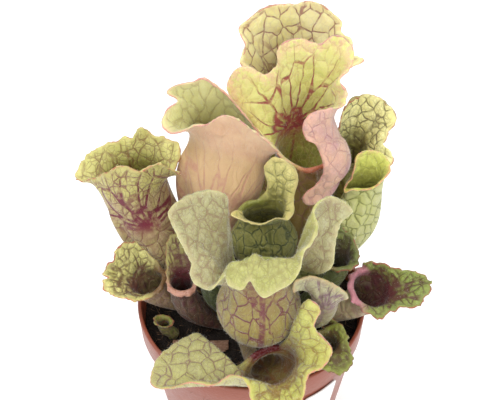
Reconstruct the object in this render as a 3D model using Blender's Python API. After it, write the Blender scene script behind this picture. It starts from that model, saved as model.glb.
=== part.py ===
"""A potted pitcher plant: grown pitchers and seedlings round a short rhizome, in peat, in a small
tapered pot. Lengths are millimetres here and metres in the meshes, +Z up. The origin is the middle
of the pot's foot, and the plant's front faces -Y."""

import math
from dataclasses import dataclass, field

import bmesh
import bpy
import numpy as np

MM = 0.001
GAP = 0.3

# Pot
POT_HEIGHT = 78.0
RIM_RADIUS = 45.0
FOOT_RADIUS = 33.0
COLLAR_DROP = 12.0
COLLAR_STEP = 1.2
COLLAR_DRAFT = 0.6
EDGE_ROUND = 0.8
POT_WALL = 1.5
FLOOR_THICKNESS = 2.2
POT_SIDES = 36
DRAIN_HOLES = 4
DRAIN_RADIUS = 4.0
DRAIN_CIRCLE = 19.0
DRAIN_TURN = 45.0
DRAIN_SIDES = 12

# Label, blank
LABEL_TURNS = (-62.0, -40.0)
LABEL_HEIGHTS = (22.0, 62.0)
LABEL_THICKNESS = 0.6
LABEL_STEPS = 6

# Peat
PEAT_TOP = 69.0
PEAT_SHOULDER = 63.0
PEAT_BEVEL = 1.0
PEAT_RELIEF = 0.33
PEAT_RINGS = 5
PEAT_SIDES = 30
FOOT_DEPTH = 4.0
HOLE_ROOM = 0.7
HOLE_SIDES = 8

# Rhizome
RHIZOME_PLACE = (0.0, 6.0)
RHIZOME_RADIUS = 4.2
RHIZOME_STANDS = 3.5
RHIZOME_SIDES = 12

# Dry old leaf: x, y, half width and height over the peat, then the section across it
OLD_LEAF_THICKNESS = 1.0
OLD_LEAF_SPINE = (
    (-9.0, -17.5, 2.4, 1.6), (-15.0, -19.0, 3.4, 1.7), (-22.0, -20.0, 3.8, 2.2), (-27.0, -19.5, 3.4, 2.9),
    (-30.5, -18.5, 1.6, 3.6),
)
OLD_LEAF_SECTION = ((-1.0, 0.5), (-0.4, 0.0), (0.4, 0.1), (1.0, 0.7))

# Pitchers
STALK_RADIUS = 1.9
LEAF_THICKNESS = 0.8
TUBE_STEPS = (0.0, 0.15, 0.33, 0.50, 0.66, 0.82, 1.0)
TUBE_KEYS = (0.0, 0.12)
HOLLOW_RING = 3
HOOD_STEPS = (0.33, 0.68, 1.0)
WING_HALF_TURN = 12.0
WING_SHAPE = ((0.0, 0.12, 0.5, 0.9, 1.0), (0.0, 0.3, 1.0, 0.6, 0.0))
FRILL_REACH = 9.0
NORMAL_PASSES = 1

# Seedlings
SEEDLING_STEP = 45
SEEDLING_REACH = 3.8

GREEN = (0.42, 0.45, 0.13)
PALE_GREEN = (0.55, 0.58, 0.28)
DARK_GREEN = (0.16, 0.20, 0.06)
BLUSH = (0.62, 0.42, 0.33)
MAROON = (0.22, 0.07, 0.08)
TERRACOTTA = (0.42, 0.17, 0.10)
PEAT_BLACK = (0.025, 0.020, 0.017)
BARK_BROWN = (0.12, 0.07, 0.04)
STRAW = (0.52, 0.36, 0.29)
WHITE = (0.85, 0.85, 0.85)


@dataclass
class Edge:
    """One point of a hood's margin: x, y and z from the middle of the mouth, in line with a turn
    round the mouth. The blade leaves the mouth along the tube for `lift` and outward for `flare`, and
    ends by way of `bend`."""

    turn: float
    x: float
    y: float
    z: float
    lift: float = 8.0
    bend: tuple = ()
    flare: float = 0.0


@dataclass
class Lip:
    """One point of the rolled lip at the front of the mouth."""

    turn: float
    roll: float = 2.4


@dataclass
class Pitcher:
    """A hollow leaf. Its foot stands in the peat, its tube swells to a belly and narrows to a mouth,
    and its hood has a waved margin. Places are from the pot's axis, heights from its rim."""

    name: str
    colour: tuple
    base: tuple
    start: tuple
    mouth: tuple
    lean: tuple
    facing: float
    belly: float
    throat: float
    margin: list
    wide: float = 1.0
    rise: float = 16.0
    pull: float = 20.0
    belly_at: float = 0.68
    neck: float = 0.6
    wing: float = 2.6
    wing_turn: float = 0.0
    frill: float = 0.0
    axis: np.ndarray = field(init=False)
    centre: np.ndarray = field(init=False)
    level_front: np.ndarray = field(init=False)
    front: np.ndarray = field(init=False)
    side: np.ndarray = field(init=False)

    def __post_init__(self):
        self.axis = unit(np.array([self.lean[0], self.lean[1], 1.0]))
        self.centre = np.array([self.mouth[0], self.mouth[1], self.mouth[2] + POT_HEIGHT])
        self.level_front = np.array([cosine(self.facing), sine(self.facing), 0.0])
        self.front = unit(self.level_front - self.axis * (self.axis @ self.level_front))
        self.side = np.cross(self.axis, self.front)


def pitchers():
    """Every pitcher, front to back and then left to right."""
    return [
        Pitcher(
            name="pitcher_front_high", colour=GREEN, base=(0.0, -5.0), start=(0.0, -0.15),
            mouth=(3.0, -24.0, 37.0), lean=(0.0, 0.22), facing=90.0, belly=15.3, throat=12.0,
            rise=20.0, pull=25.0, belly_at=0.78, neck=0.42, wing=0.0,
            margin=[
                Lip(0, 1.8), Lip(22, 1.8), Lip(44, 1.8), Lip(316, 1.8), Lip(338, 1.8),
                Edge(62, -11, 9.5, 17, 12), Edge(74, -12, 8.5, 28, 14), Edge(86, -12, 7, 36.5, 16),
                Edge(96, -18.5, 6, 40, 16), Edge(105, -26, 4, 38.5, 16), Edge(114, -31.5, 1, 34, 14),
                Edge(121, -29.5, -2, 29, 12), Edge(128, -26.5, -5, 23, 11),
                Edge(134, -24, -7, 17.5, 10), Edge(140, -24.5, -9, 13, 9), Edge(147, -21, -11, 9, 9),
                Edge(154, -16.5, -13, 11, 12), Edge(161, -12, -13, 17.5, 15, (0, 5, 7)),
                Edge(167, -11, -17, 17.5, 20, (0, 8, 9)), Edge(174, -6.5, -19, 17, 24, (0, 9, 10)),
                Edge(181, -3.5, -17, 19.5, 25, (0, 9, 10)), Edge(187, -1.5, -20, 17.5, 25, (0, 10, 11)),
                Edge(193, 1, -22, 16.5, 25, (0, 10, 11)), Edge(201, 6, -20, 18, 25, (0, 9, 10)),
                Edge(209, 10.5, -18, 19.5, 23, (0, 8, 8)), Edge(217, 13.5, -15, 23, 20, (0, 4, 5)),
                Edge(225, 14.5, -12, 28, 17), Edge(233, 17.5, -8, 29, 15),
                Edge(241, 19.5, -3, 31.5, 15), Edge(248, 18.5, 2, 35, 15), Edge(256, 24, 6, 37, 15),
                Edge(265, 32, 6, 30.5, 14), Edge(273, 28, 4, 25.5, 12), Edge(281, 26.5, 2, 17, 10),
                Edge(290, 26, 1, 8, 8), Edge(301, 21.5, 1, 3, 6),
            ],
        ),
        Pitcher(
            name="pitcher_front_low", colour=GREEN, base=(-3.5, -11.5), start=(0.0, -0.8),
            mouth=(7.0, -42.5, 9.5), lean=(-0.07, -0.3), facing=117.0, belly=5.0, throat=6.8, wide=1.5,
            rise=11.5, pull=10.0, belly_at=0.74, wing=1.2,
            margin=[
                Lip(0, 1.8), Lip(19, 1.8), Lip(340, 1.8), Lip(322, 1.8), Edge(38, -13, 3, -3.5, 2),
                Edge(49, -18.5, 2, -6, 2), Edge(59, -24, 4, -6, 4), Edge(69, -27, 9, -3, 7),
                Edge(79, -27, 15, 1, 9), Edge(90, -35, 12, 0, 9), Edge(99, -42, 5, -1, 8),
                Edge(108, -44, -5, -2, 7), Edge(118, -38, -9, 0, 6), Edge(128, -29, -10, 5, 6),
                Edge(138, -21, -12, 6, 6), Edge(147, -15, -12, 12, 8, (0, -2, 1)),
                Edge(155, -10, -13, 12, 8, (0, -2, 1)), Edge(163, -8, -16, 9, 7),
                Edge(172, -6, -22, 4, 6), Edge(184, 0, -24, 1, 5), Edge(198, 7, -22, 1, 5),
                Edge(211, 11, -17, 4, 5), Edge(223, 13, -10, 9, 6), Edge(236, 19, -6, 9, 6),
                Edge(247, 22, 0, 11, 7), Edge(257, 19, 1, 16, 8), Edge(265, 15, 1, 23, 12),
                Edge(273, 17, 2, 31, 14), Edge(282, 13, 4, 34, 16), Edge(294, 10, 6, 24, 14),
                Edge(308, 9, 7, 12, 9),
            ],
        ),
        Pitcher(
            name="pitcher_middle", colour=GREEN, base=(5.5, -1.0), start=(0.0, 0.0),
            mouth=(4.5, 4.5, 43.0), lean=(0.0, 0.0), facing=-90.0, belly=9.4, throat=5.6, wide=1.45,
            rise=20.0, pull=18.0, belly_at=0.74, wing=0.8,
            margin=[
                Lip(190, 1.4), Lip(215, 1.4), Lip(240, 1.4), Lip(265, 1.4),
                Edge(0, -2, -9, 3, 1.5, (0, 1, -0.5), 2), Edge(24, 2, -9, 5, 2, (0, 1, -1), 2),
                Edge(44, 5.5, -8, 5.5, 2, (0, 1, -1), 2), Edge(60, 9, -6, 2.5, 1.5, (-0.5, 1, -0.5), 1),
                Edge(72, 11, -3, 3.5, 5), Edge(82, 11, 0, 7.5, 7), Edge(91, 11.5, 1, 11, 8),
                Edge(100, 12.5, 2, 14.5, 9), Edge(110, 11.5, 3, 19.5, 9), Edge(121, 7.5, 5, 22, 9),
                Edge(132, 3.5, 7, 21.5, 9), Edge(145, 0.5, 8, 16, 8), Edge(162, 1.5, 8, 7, 5),
                Edge(284, -8.5, -1.5, 1.5, 1.5, (0.5, 0, -0.5)),
                Edge(302, -10.5, -3, 4.5, 2, (1, 0.5, -1), 2),
                Edge(318, -12, -6, 5.5, 2, (1.5, 1, -1), 3),
                Edge(338, -7, -8.5, 4.5, 2, (0.5, 1, -1), 2),
            ],
        ),
        Pitcher(
            name="pitcher_back_left", colour=BLUSH, base=(-12.0, 12.0), start=(-0.1, 0.2),
            mouth=(-8.5, 25.0, 57.0), lean=(0.22, 0.0), facing=-104.0, belly=9.5, throat=8.5, wide=1.8,
            rise=22.0, pull=26.0, belly_at=0.78, wing=3.2, wing_turn=-74.0,
            margin=[
                Edge(0, -6, -9, 21, 9), Edge(12, -2, -9, 24, 9), Edge(24, 3, -10, 23.5, 9),
                Edge(38, 8.5, -11, 19, 8), Edge(52, 13.5, -12, 15, 7), Edge(68, 18, -12, 9, 5),
                Edge(84, 16, -4, 5, 3, (-1, 0, -1)), Edge(108, 12, 0, 6.5, 3, (0, 0, -2)),
                Edge(132, 9.5, 2, 9, 4, (0, 0, -1)), Edge(150, 5.5, 3.5, 13.5, 6),
                Edge(163, 1.5, 5.5, 18, 8), Edge(174, -2, 6.5, 22, 9), Edge(184, -5.5, 7, 25, 10),
                Edge(194, -9.5, 7, 28, 11), Edge(204, -13.5, 6, 27, 11), Edge(214, -19, 5.5, 26, 11),
                Edge(225, -22.5, 4.5, 23.5, 10), Edge(236, -18.5, 4, 20, 9), Edge(248, -23, 2, 17, 8),
                Edge(260, -24.5, -1, 13, 7), Edge(275, -21.5, -5, 12, 6), Edge(292, -16.5, -8, 15.5, 7),
                Edge(316, -12.5, -9, 19, 8), Edge(340, -8.5, -9, 19.5, 8),
            ],
        ),
        Pitcher(
            name="pitcher_back_right", colour=GREEN, base=(8.0, 12.5), start=(0.1, 0.2),
            mouth=(20.0, 27.0, 54.0), lean=(0.0, 0.0), facing=-70.0, belly=11.6, throat=10.6,
            rise=20.0, pull=24.0,
            margin=[
                Lip(0, 1.6), Lip(17, 1.6), Lip(340, 1.6),
                Edge(30, 8.5, -11.5, 1, 3.5, (0, 0.5, 3), 1.5),
                Edge(37, 9.5, -12, -2.5, 3, (0.5, -0.5, 3), 2.5),
                Edge(45, 9, -13, -6.5, 4, (2, -1, 4), 3), Edge(51, 5.5, -17, -9, 4.5, (7, -1, 3), 5),
                Edge(56, 1, -21.5, -7.5, 4, (14.5, 0.5, 1), 6.5),
                Edge(62, -1, -21, -3.5, 5, (17, 0, 0), 6), Edge(67, 4, -21, 3, 6, (18, 1, -2), 5),
                Edge(73, 6, -21, 10.5, 7, (18, 2, -3), 3), Edge(79, 3.5, -20, 20, 9, (20, 2, -4)),
                Edge(87, -0.5, -19, 23, 10, (21, 2, -4)), Edge(95, -2, -18, 28, 11, (20, 2, -4)),
                Edge(103, 0.5, -16, 32.5, 12, (14, 2, -4)), Edge(111, 7, -12, 31.5, 12, (7, 2, -2)),
                Edge(120, 13, -7, 28, 12), Edge(129, 14.5, -1, 29.5, 12), Edge(138, 12, 3, 32, 12),
                Edge(146, 16, 6, 35.5, 12), Edge(154, 17, 9, 40.5, 13), Edge(162, 13.5, 11, 45, 13),
                Edge(170, 9.5, 12, 45.5, 13), Edge(178, 5.5, 12, 41.5, 13), Edge(185, 2.5, 12, 42, 13),
                Edge(192, -2.5, 12, 44, 13), Edge(200, -8.5, 12, 42, 12), Edge(207, -10.5, 12, 38, 11),
                Edge(213, -10.5, 11, 32, 11), Edge(219, -15.5, 11, 28, 11), Edge(225, -20, 11, 31, 11),
                Edge(233, -25, 11.5, 30.5, 11), Edge(243, -29, 11.5, 24, 10),
                Edge(254, -28, 10.5, 16.5, 7), Edge(266, -24.5, 9, 10.5, 5), Edge(280, -19, 4, 8.5, 4),
                Edge(302, -13, -5, 7.5, 3), Edge(322, -7.5, -10.5, 4, 3),
            ],
        ),
        Pitcher(
            name="pitcher_rear", colour=GREEN, base=(1.0, 15.5), start=(0.1, 1.4),
            mouth=(14.0, 52.0, 60.0), lean=(0.0, 0.0), facing=-90.0, belly=9.0, throat=8.5,
            rise=28.0, pull=28.0,
            margin=[
                Lip(0), Lip(28), Lip(56), Lip(304), Lip(332), Edge(80, 14.5, -5, 10, 6),
                Edge(93, 20.5, -5, 16, 8), Edge(105, 28.5, -3, 20, 9), Edge(115, 23.5, -1, 21, 9),
                Edge(124, 24, 2, 25.5, 9), Edge(133, 20, 5, 26.5, 10), Edge(142, 20, 7, 30, 11),
                Edge(151, 16.5, 8, 33.5, 12), Edge(160, 12, 9, 37, 12), Edge(169, 6.5, 9, 38.5, 12),
                Edge(177, 3.5, 9, 37, 12), Edge(185, -0.5, 9, 37, 12), Edge(194, -6.5, 9, 36.5, 12),
                Edge(203, -11.5, 8, 34.5, 12), Edge(213, -15.5, 6, 32, 11), Edge(224, -19, 4, 29, 10),
                Edge(234, -16.5, 0, 25.5, 10), Edge(246, -18, -4, 19.5, 9), Edge(259, -13, -7, 17, 7),
                Edge(279, -10, -8, 9, 5),
            ],
        ),
        Pitcher(
            name="pitcher_right_back", colour=GREEN, base=(14.5, 9.5), start=(1.6, 0.4),
            mouth=(38.0, 32.0, 46.0), lean=(-0.06, 0.1), facing=-110.0, belly=5.2, throat=5.6,
            rise=21.0, pull=24.0, wing=1.0, frill=0.9,
            margin=[
                Lip(0), Lip(38), Lip(322), Edge(70, 13, -9, 2, 4), Edge(86, 16, -7, 5, 6),
                Edge(101, 12, -3, 9, 8), Edge(116, 14, -1, 14, 9), Edge(132, 17, 1, 18, 9),
                Edge(150, 14, 4, 22, 10), Edge(168, 9, 6, 25, 10), Edge(188, 2, 6, 25, 10),
                Edge(206, -3, 2, 23, 10), Edge(232, -5, -1, 15, 8), Edge(262, -8, 0, 6, 3),
                Lip(290, 2.0),
            ],
        ),
        Pitcher(
            name="pitcher_right_pale", colour=PALE_GREEN, base=(12.0, 4.0), start=(0.8, 0.35),
            mouth=(42.0, 12.0, 50.0), lean=(0.0, 0.0), facing=-85.0, belly=5.9, throat=3.6, wide=1.9,
            rise=22.0, pull=24.0, wing=1.2,
            margin=[
                Edge(0, -1, -5, 2.5, 3, (0, 1, -1)), Edge(30, 3, -5, 3.5, 3), Edge(56, 6, -4, 6, 4),
                Edge(80, 9, -1, 8, 5), Edge(104, 8.5, 2, 10.5, 6), Edge(128, 5.5, 4, 12.5, 7),
                Edge(152, 0.5, 4, 14, 7), Edge(176, -3, 3, 12.5, 6), Edge(202, -4, 1, 8, 5),
                Edge(230, -4.5, 0, 4.5, 3, (0, 0, -0.5)), Edge(262, -7, -2.5, 2.5, 2, (0, 0, -0.5)),
                Edge(296, -7.5, -5, 1, 1, (0.5, 1, 0), 1.5), Edge(328, -5, -5, 2.5, 3, (0, 1, -1)),
            ],
        ),
        Pitcher(
            name="pitcher_left", colour=GREEN, base=(-12.0, 5.5), start=(-0.8, 0.1),
            mouth=(-45.0, 20.0, 42.0), lean=(-0.2, 0.0), facing=-80.0, belly=10.5, throat=10.5, wide=1.2,
            rise=18.0, pull=26.0, belly_at=0.8, wing_turn=-60.0, frill=0.8,
            margin=[
                Edge(300, -13, -5, 9, 5), Edge(324, -8, -8, 15, 6), Edge(345, -3, -9, 19, 7),
                Edge(5, 4, -11, 18, 7), Edge(25, 11, -10, 21, 7), Edge(45, 15, -9, 17, 6),
                Edge(65, 18, -6, 11, 6), Edge(88, 16, 1, 7, 5), Edge(110, 18, 8, 12, 6),
                Edge(130, 13, 11, 14, 7), Edge(148, 8, 12, 14, 7), Edge(162, 3, 13, 18, 7),
                Edge(175, 0, 13, 13, 7), Edge(191, -7, 13, 11, 6), Edge(206, -13, 12, 9, 6),
                Edge(220, -19, 10, 5, 5), Edge(235, -23, 5, 0, 4), Edge(252, -20, 1, 1, 4),
                Edge(276, -17, -2, 5, 4),
            ],
        ),
        Pitcher(
            name="pitcher_left_low", colour=GREEN, base=(-14.2, -0.8), start=(-0.9, 0.1),
            mouth=(-39.5, -2.2, 10.3), lean=(-0.5, 0.0), facing=10.0, belly=4.8, throat=6.0,
            rise=8.0, pull=12.0, belly_at=0.75, wing=1.0, frill=1.0,
            margin=[
                Lip(0), Lip(35), Lip(320), Lip(285), Edge(70, 0, 8, 8, 5), Edge(95, -6, 8, 15, 6),
                Edge(115, -11, 4, 17, 6), Edge(135, -13, 1, 13, 5), Edge(155, -17, -1, 8, 4),
                Edge(174, -15, -3, 7, 4), Edge(190, -17, -5, 7, 4), Edge(208, -15, -8, 4, 3),
                Edge(228, -8, -11, 4, 3), Edge(252, -2, -10, 2, 3),
            ],
        ),
        Pitcher(
            name="pitcher_left_inner", colour=MAROON, base=(-11.5, -7.5), start=(-1.0, -0.35),
            mouth=(-26.5, -8.0, 17.0), lean=(0.0, 0.0), facing=-90.0, belly=5.2, throat=4.4,
            rise=10.0, pull=14.0, wing=0.8, frill=0.7,
            margin=[
                Lip(0), Lip(30), Lip(60), Lip(330), Lip(300), Edge(90, 6, 3, 4, 3),
                Edge(112, 6, 5, 7, 4), Edge(134, 5, 8, 10, 5), Edge(155, 3, 10, 13, 6),
                Edge(176, -1, 11, 15, 6), Edge(198, -5, 10, 14, 6), Edge(222, -6, 7, 9, 5),
                Edge(255, -6, 3, 3, 3),
            ],
        ),
        Pitcher(
            name="pitcher_inner_dark", colour=DARK_GREEN, base=(-6.5, -2.5), start=(-0.5, -0.4),
            mouth=(-14.0, -8.0, 27.0), lean=(0.0, 0.0), facing=60.0, belly=5.6, throat=4.8,
            rise=14.0, pull=16.0, wing=0.8,
            margin=[
                Lip(0), Lip(40), Lip(320), Lip(280), Edge(80, -6, 4, 3, 3), Edge(110, -7, 0, 6, 4),
                Edge(145, -5, -6, 8, 5), Edge(180, -2, -7, 8, 5), Edge(215, 2, -7, 6, 4, (0, 0, -1)),
                Edge(248, 4, -5, 3, 2, (0, 0, -1)),
            ],
        ),
        Pitcher(
            name="pitcher_right_low", colour=MAROON, base=(17.5, -4.0), start=(2.0, -0.2),
            mouth=(45.5, -8.5, 14.0), lean=(0.35, -0.1), facing=170.0, belly=5.6, throat=7.4, wide=1.15,
            rise=9.0, pull=14.0, belly_at=0.8, wing=1.0, frill=1.0,
            margin=[
                Lip(0), Lip(30), Lip(60), Lip(330), Lip(300), Edge(84, -1, -12, 0, 3),
                Edge(102, 3, -13, -1, 3), Edge(118, 6, -11, 0, 3), Edge(133, 11, -9, 1, 3),
                Edge(147, 17, -9, 1, 4), Edge(161, 20, -6, 3, 4), Edge(174, 22, -2, 5, 4),
                Edge(187, 22, 1, 4, 4), Edge(200, 17, 3, 7, 4), Edge(214, 12, 4, 6, 4),
                Edge(230, 8, 6, 6, 4), Edge(250, 3, 8, 6, 4), Edge(274, -2, 9, 5, 3),
            ],
        ),
        Pitcher(
            name="pitcher_right_dark", colour=DARK_GREEN, base=(17.5, 1.5), start=(0.8, -0.1),
            mouth=(33.0, -3.5, 25.0), lean=(0.0, 0.0), facing=-150.0, belly=4.0, throat=4.2,
            rise=12.0, pull=10.0, wing=0.8, frill=0.9,
            margin=[
                Lip(0), Lip(40), Lip(320), Edge(75, 0, -6, 1, 3), Edge(95, 4, -6, 2, 3),
                Edge(115, 7, -4, 3, 4), Edge(140, 7, 0, 5, 4), Edge(165, 6, 3, 7, 5),
                Edge(190, 3, 6, 9, 5), Edge(215, -1, 8, 11, 5), Edge(240, -4, 6, 10, 5),
                Edge(265, -6, 3, 8, 4), Edge(290, -7, 0, 5, 4),
            ],
        ),
        Pitcher(
            name="pitcher_front_right", colour=GREEN, base=(12.5, -10.5), start=(1.0, -1.2),
            mouth=(28.0, -29.0, 7.0), lean=(0.1, -0.1), facing=135.0, belly=4.0, throat=4.4,
            rise=8.0, pull=11.0, belly_at=0.75, wing=0.8, frill=0.7,
            margin=[
                Lip(0), Lip(35), Lip(325), Edge(72, -5, -6, 0, 3), Edge(98, -3, -9, -2, 3),
                Edge(125, 2, -11, -3, 3), Edge(150, 6, -11, -3, 3), Edge(175, 9, -8, -2, 3),
                Edge(200, 9, -4, 0, 3), Edge(225, 8, 0, 2, 3), Edge(250, 7, 4, 4, 3),
                Edge(275, 5, 6, 5, 3), Edge(300, 2, 7, 3, 2, (0, 0, -1)),
            ],
        ),
        Pitcher(
            name="pitcher_young_fan", colour=PALE_GREEN, base=(11.0, -4.5), start=(0.7, -0.6),
            mouth=(27.0, -23.0, 26.0), lean=(0.0, -0.15), facing=80.0, belly=4.4, throat=4.8,
            rise=12.0, pull=20.0, wing=0.8,
            margin=[
                Lip(0), Lip(35), Lip(325), Lip(290), Edge(64, -7, 1, 8, 5), Edge(78, -10, -4, 11, 6),
                Edge(92, -12, -9, 14, 7), Edge(110, -12, -8, 18, 8), Edge(130, -9, -6, 18, 8),
                Edge(150, -6, -5, 18, 8), Edge(170, -1, -4, 15, 7), Edge(190, 3, -4, 12, 6),
                Edge(212, 7, -4, 8, 5), Edge(234, 8, -4, 5, 4), Edge(260, 6, -2, 2, 3),
            ],
        ),
        seedling("seedling_right", (27.5, -15.5), (29.5, -15.5, 0.5), 20.0),
        seedling("seedling_left", (-31.0, -12.5), (-34.0, -13.5, -0.5), 40.0),
    ]


def seedling(name, base, mouth, facing):
    """A pitcher a few months old, with a plain round hood that is highest at the back."""
    margin = []
    for turn in range(0, 360, SEEDLING_STEP):
        height = 2.2 - 1.4 * cosine(turn)
        x, y = SEEDLING_REACH * cosine(facing + turn), SEEDLING_REACH * sine(facing + turn)
        margin.append(Edge(turn, x, y, height, 1.2, (0.0, 0.0, 0.3)))
    return Pitcher(
        name=name, colour=GREEN, base=base, start=(0.2, -0.1), mouth=mouth, lean=(0.0, 0.0),
        facing=facing, belly=2.3, throat=2.2, rise=3.0, pull=4.0, wing=0.0, margin=margin,
    )


def cosine(degrees):
    return math.cos(math.radians(degrees))


def sine(degrees):
    return math.sin(math.radians(degrees))


def unit(vectors):
    return vectors / np.linalg.norm(vectors, axis=-1, keepdims=True)


def hermite(t, start, end, start_slope, end_slope):
    """A cubic between two values with their slopes."""
    return (
        start * (2 * t**3 - 3 * t**2 + 1)
        + start_slope * (t**3 - 2 * t**2 + t)
        + end * (3 * t**2 - 2 * t**3)
        + end_slope * (t**3 - t**2)
    )


def smooth_profile(keys, values, at):
    """A curve through values at rising keys that never overshoots them."""
    keys = np.asarray(keys, float)
    values = np.asarray(values, float)
    steps = np.diff(keys)
    slopes = np.diff(values) / steps
    same_way = slopes[:-1] * slopes[1:] > 0
    shared = 2 * slopes[:-1] * slopes[1:] / np.where(same_way, slopes[:-1] + slopes[1:], 1.0)
    tangents = np.concatenate([slopes[:1], np.where(same_way, shared, 0.0), [0.0]])
    i = np.clip(np.searchsorted(keys, at, side="right") - 1, 0, len(steps) - 1)
    t = (at - keys[i]) / steps[i]
    return hermite(t, values[i], values[i + 1], tangents[i] * steps[i], tangents[i + 1] * steps[i])


def cubic(points, t):
    """Places and slopes of a cubic curve with four control points."""
    a, b, c, d = points
    t = t[:, None]
    place = (1 - t) ** 3 * a + 3 * t * (1 - t) ** 2 * b + 3 * t * t * (1 - t) * c + t**3 * d
    slope = 3 * (1 - t) ** 2 * (b - a) + 6 * t * (1 - t) * (c - b) + 3 * t * t * (d - c)
    return place, slope


def tube_rows(leaf, turns):
    """Rings of the tube's middle surface, from the foot to the mouth."""
    steps = np.array(TUBE_STEPS)
    foot = np.array([leaf.base[0], leaf.base[1], PEAT_TOP + 1.0])
    heading = unit(np.array([leaf.start[0], leaf.start[1], 1.0]))
    bend = (foot, foot + heading * leaf.rise, leaf.centre - leaf.axis * leaf.pull, leaf.centre)
    places, slopes = cubic(bend, steps)
    along = unit(slopes)
    fronts = unit(leaf.level_front - along * (along @ leaf.level_front)[:, None])
    sides = np.cross(along, fronts)
    keys = (*TUBE_KEYS, leaf.belly_at * 0.55, leaf.belly_at, 1.0)
    neck = 0.35 * STALK_RADIUS + leaf.neck * leaf.belly
    radii = smooth_profile(keys, (STALK_RADIUS, STALK_RADIUS * 1.2, neck, leaf.belly, leaf.throat), steps)
    widths = radii * (1 + (leaf.wide - 1) * steps)
    rad = np.radians(turns)
    return (
        places[:, None]
        + (radii[:, None] * np.cos(rad))[..., None] * fronts[:, None]
        + (widths[:, None] * np.sin(rad))[..., None] * sides[:, None]
    )


def margin_rows(leaf):
    """The margin's points by turn: the turn, the place, the way out of the mouth and the bend."""
    rows = []
    for point in leaf.margin:
        turn = point.turn % 360
        around = cosine(turn) * leaf.front + leaf.wide * sine(turn) * leaf.side
        if isinstance(point, Lip):
            place = leaf.throat * around + unit(around) * point.roll
            rows.append((turn, *(leaf.centre + place), *(leaf.axis * point.roll), *(leaf.axis * point.roll)))
        else:
            place = np.array([point.x, point.y, point.z])
            leave = leaf.axis * point.lift + unit(around) * point.flare
            bend = point.bend or (0.0, 0.0, min(3.0, 0.3 * point.lift))
            rows.append((turn, *(leaf.centre + place), *leave, *bend))
    return np.array(sorted(rows))


def with_frill(leaf, rows):
    """Adds a point half way between each two of a hood's points, pushed out by the frill."""
    if not leaf.frill:
        return rows
    full = []
    for row, after in zip(rows, np.roll(rows, -1, axis=0)):
        full.append(row)
        ahead = (after[0] - row[0]) % 360
        half_way = (row + after) / 2
        half_way[0] = (row[0] + ahead / 2) % 360
        reach = min(np.linalg.norm(row[1:4] - leaf.centre), np.linalg.norm(after[1:4] - leaf.centre))
        if reach > FRILL_REACH:
            half_way[1:4] += unit(half_way[1:4] - leaf.centre) * leaf.frill
            full.append(half_way)
    full = np.array(full)
    return full[np.argsort(full[:, 0])]


def hood_rows(leaf, ring, margin):
    """Rows of the hood's middle surface, from the mouth's ring to the margin."""
    ends = margin[:, 1:4]
    first = ring + margin[:, 4:7]
    second = ends + margin[:, 7:10]
    t = np.array(HOOD_STEPS)[:, None, None]
    return (1 - t) ** 3 * ring + 3 * t * (1 - t) ** 2 * first + 3 * t * t * (1 - t) * second + t**3 * ends


def grid_normals(grid):
    """Outward directions of a grid of rings, from its triangles, evened out along the rings."""
    low, high = grid[:-1], grid[1:]
    low_next, high_next = np.roll(low, -1, axis=1), np.roll(high, -1, axis=1)
    first = np.cross(low_next - low, high_next - low)
    second = np.cross(high_next - low, high - low)
    total = np.zeros_like(grid)
    total[:-1] += first + second + np.roll(first, 1, axis=1)
    total[1:] += second + np.roll(first + second, 1, axis=1)
    normals = unit(total)
    for _ in range(NORMAL_PASSES):
        normals = unit(np.roll(normals, 1, axis=1) + 2 * normals + np.roll(normals, -1, axis=1))
    return normals


def pitcher_mesh(leaf):
    """A closed shell: solid at the foot, hollow from part way up, and thin in the hood."""
    margin = with_frill(leaf, margin_rows(leaf))
    turns = margin[:, 0]
    rings = tube_rows(leaf, turns)
    middle = np.concatenate([rings, hood_rows(leaf, rings[-1], margin)])
    normals = grid_normals(middle)
    outer = middle + normals * LEAF_THICKNESS / 2
    inner = middle - normals * LEAF_THICKNESS / 2
    off = (turns - leaf.wing_turn + 180) % 360 - 180
    narrow = np.clip(1 - np.abs(off) / WING_HALF_TURN, 0, 1)
    tall = smooth_profile(*WING_SHAPE, np.array(TUBE_STEPS))
    tube = len(TUBE_STEPS)
    outer[:tube] += normals[:tube] * (leaf.wing * tall[:, None] * narrow)[..., None]
    stalk = [foot_ring(leaf, turns, PEAT_TOP - FOOT_DEPTH), foot_ring(leaf, turns, PEAT_TOP)]
    return shell_mesh([*stalk, *outer[1:]], inner[HOLLOW_RING:])


def foot_ring(leaf, turns, height):
    """A level ring of the stalk where it stands in the peat."""
    rad = np.radians(turns)[:, None]
    around = np.cos(rad) * leaf.front + np.sin(rad) * leaf.side
    around[:, 2] = 0
    place = np.array([leaf.base[0], leaf.base[1], height])
    return place + STALK_RADIUS * unit(around)


def shell_mesh(outside, inside):
    """A closed mesh from rings of the outside and of the inside, whose last rings form the margin."""
    bm = bmesh.new()
    out = [[bm.verts.new(p * MM) for p in row] for row in outside]
    into = [[bm.verts.new(p * MM) for p in row] for row in inside]
    bottom = bm.verts.new(np.mean(outside[0], axis=0) * MM)
    floor = bm.verts.new(np.mean(inside[0], axis=0) * MM)
    columns = len(out[0])
    for j in range(columns):
        k = (j + 1) % columns
        bm.faces.new((bottom, out[0][k], out[0][j]))
        bm.faces.new((floor, into[0][j], into[0][k]))
        for low, high in zip(out, out[1:]):
            bm.faces.new((low[j], low[k], high[k]))
            bm.faces.new((low[j], high[k], high[j]))
        for low, high in zip(into, into[1:]):
            bm.faces.new((low[j], high[k], low[k]))
            bm.faces.new((low[j], high[j], high[k]))
        bm.faces.new((out[-1][j], out[-1][k], into[-1][k]))
        bm.faces.new((out[-1][j], into[-1][k], into[-1][j]))
    return bm


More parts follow.
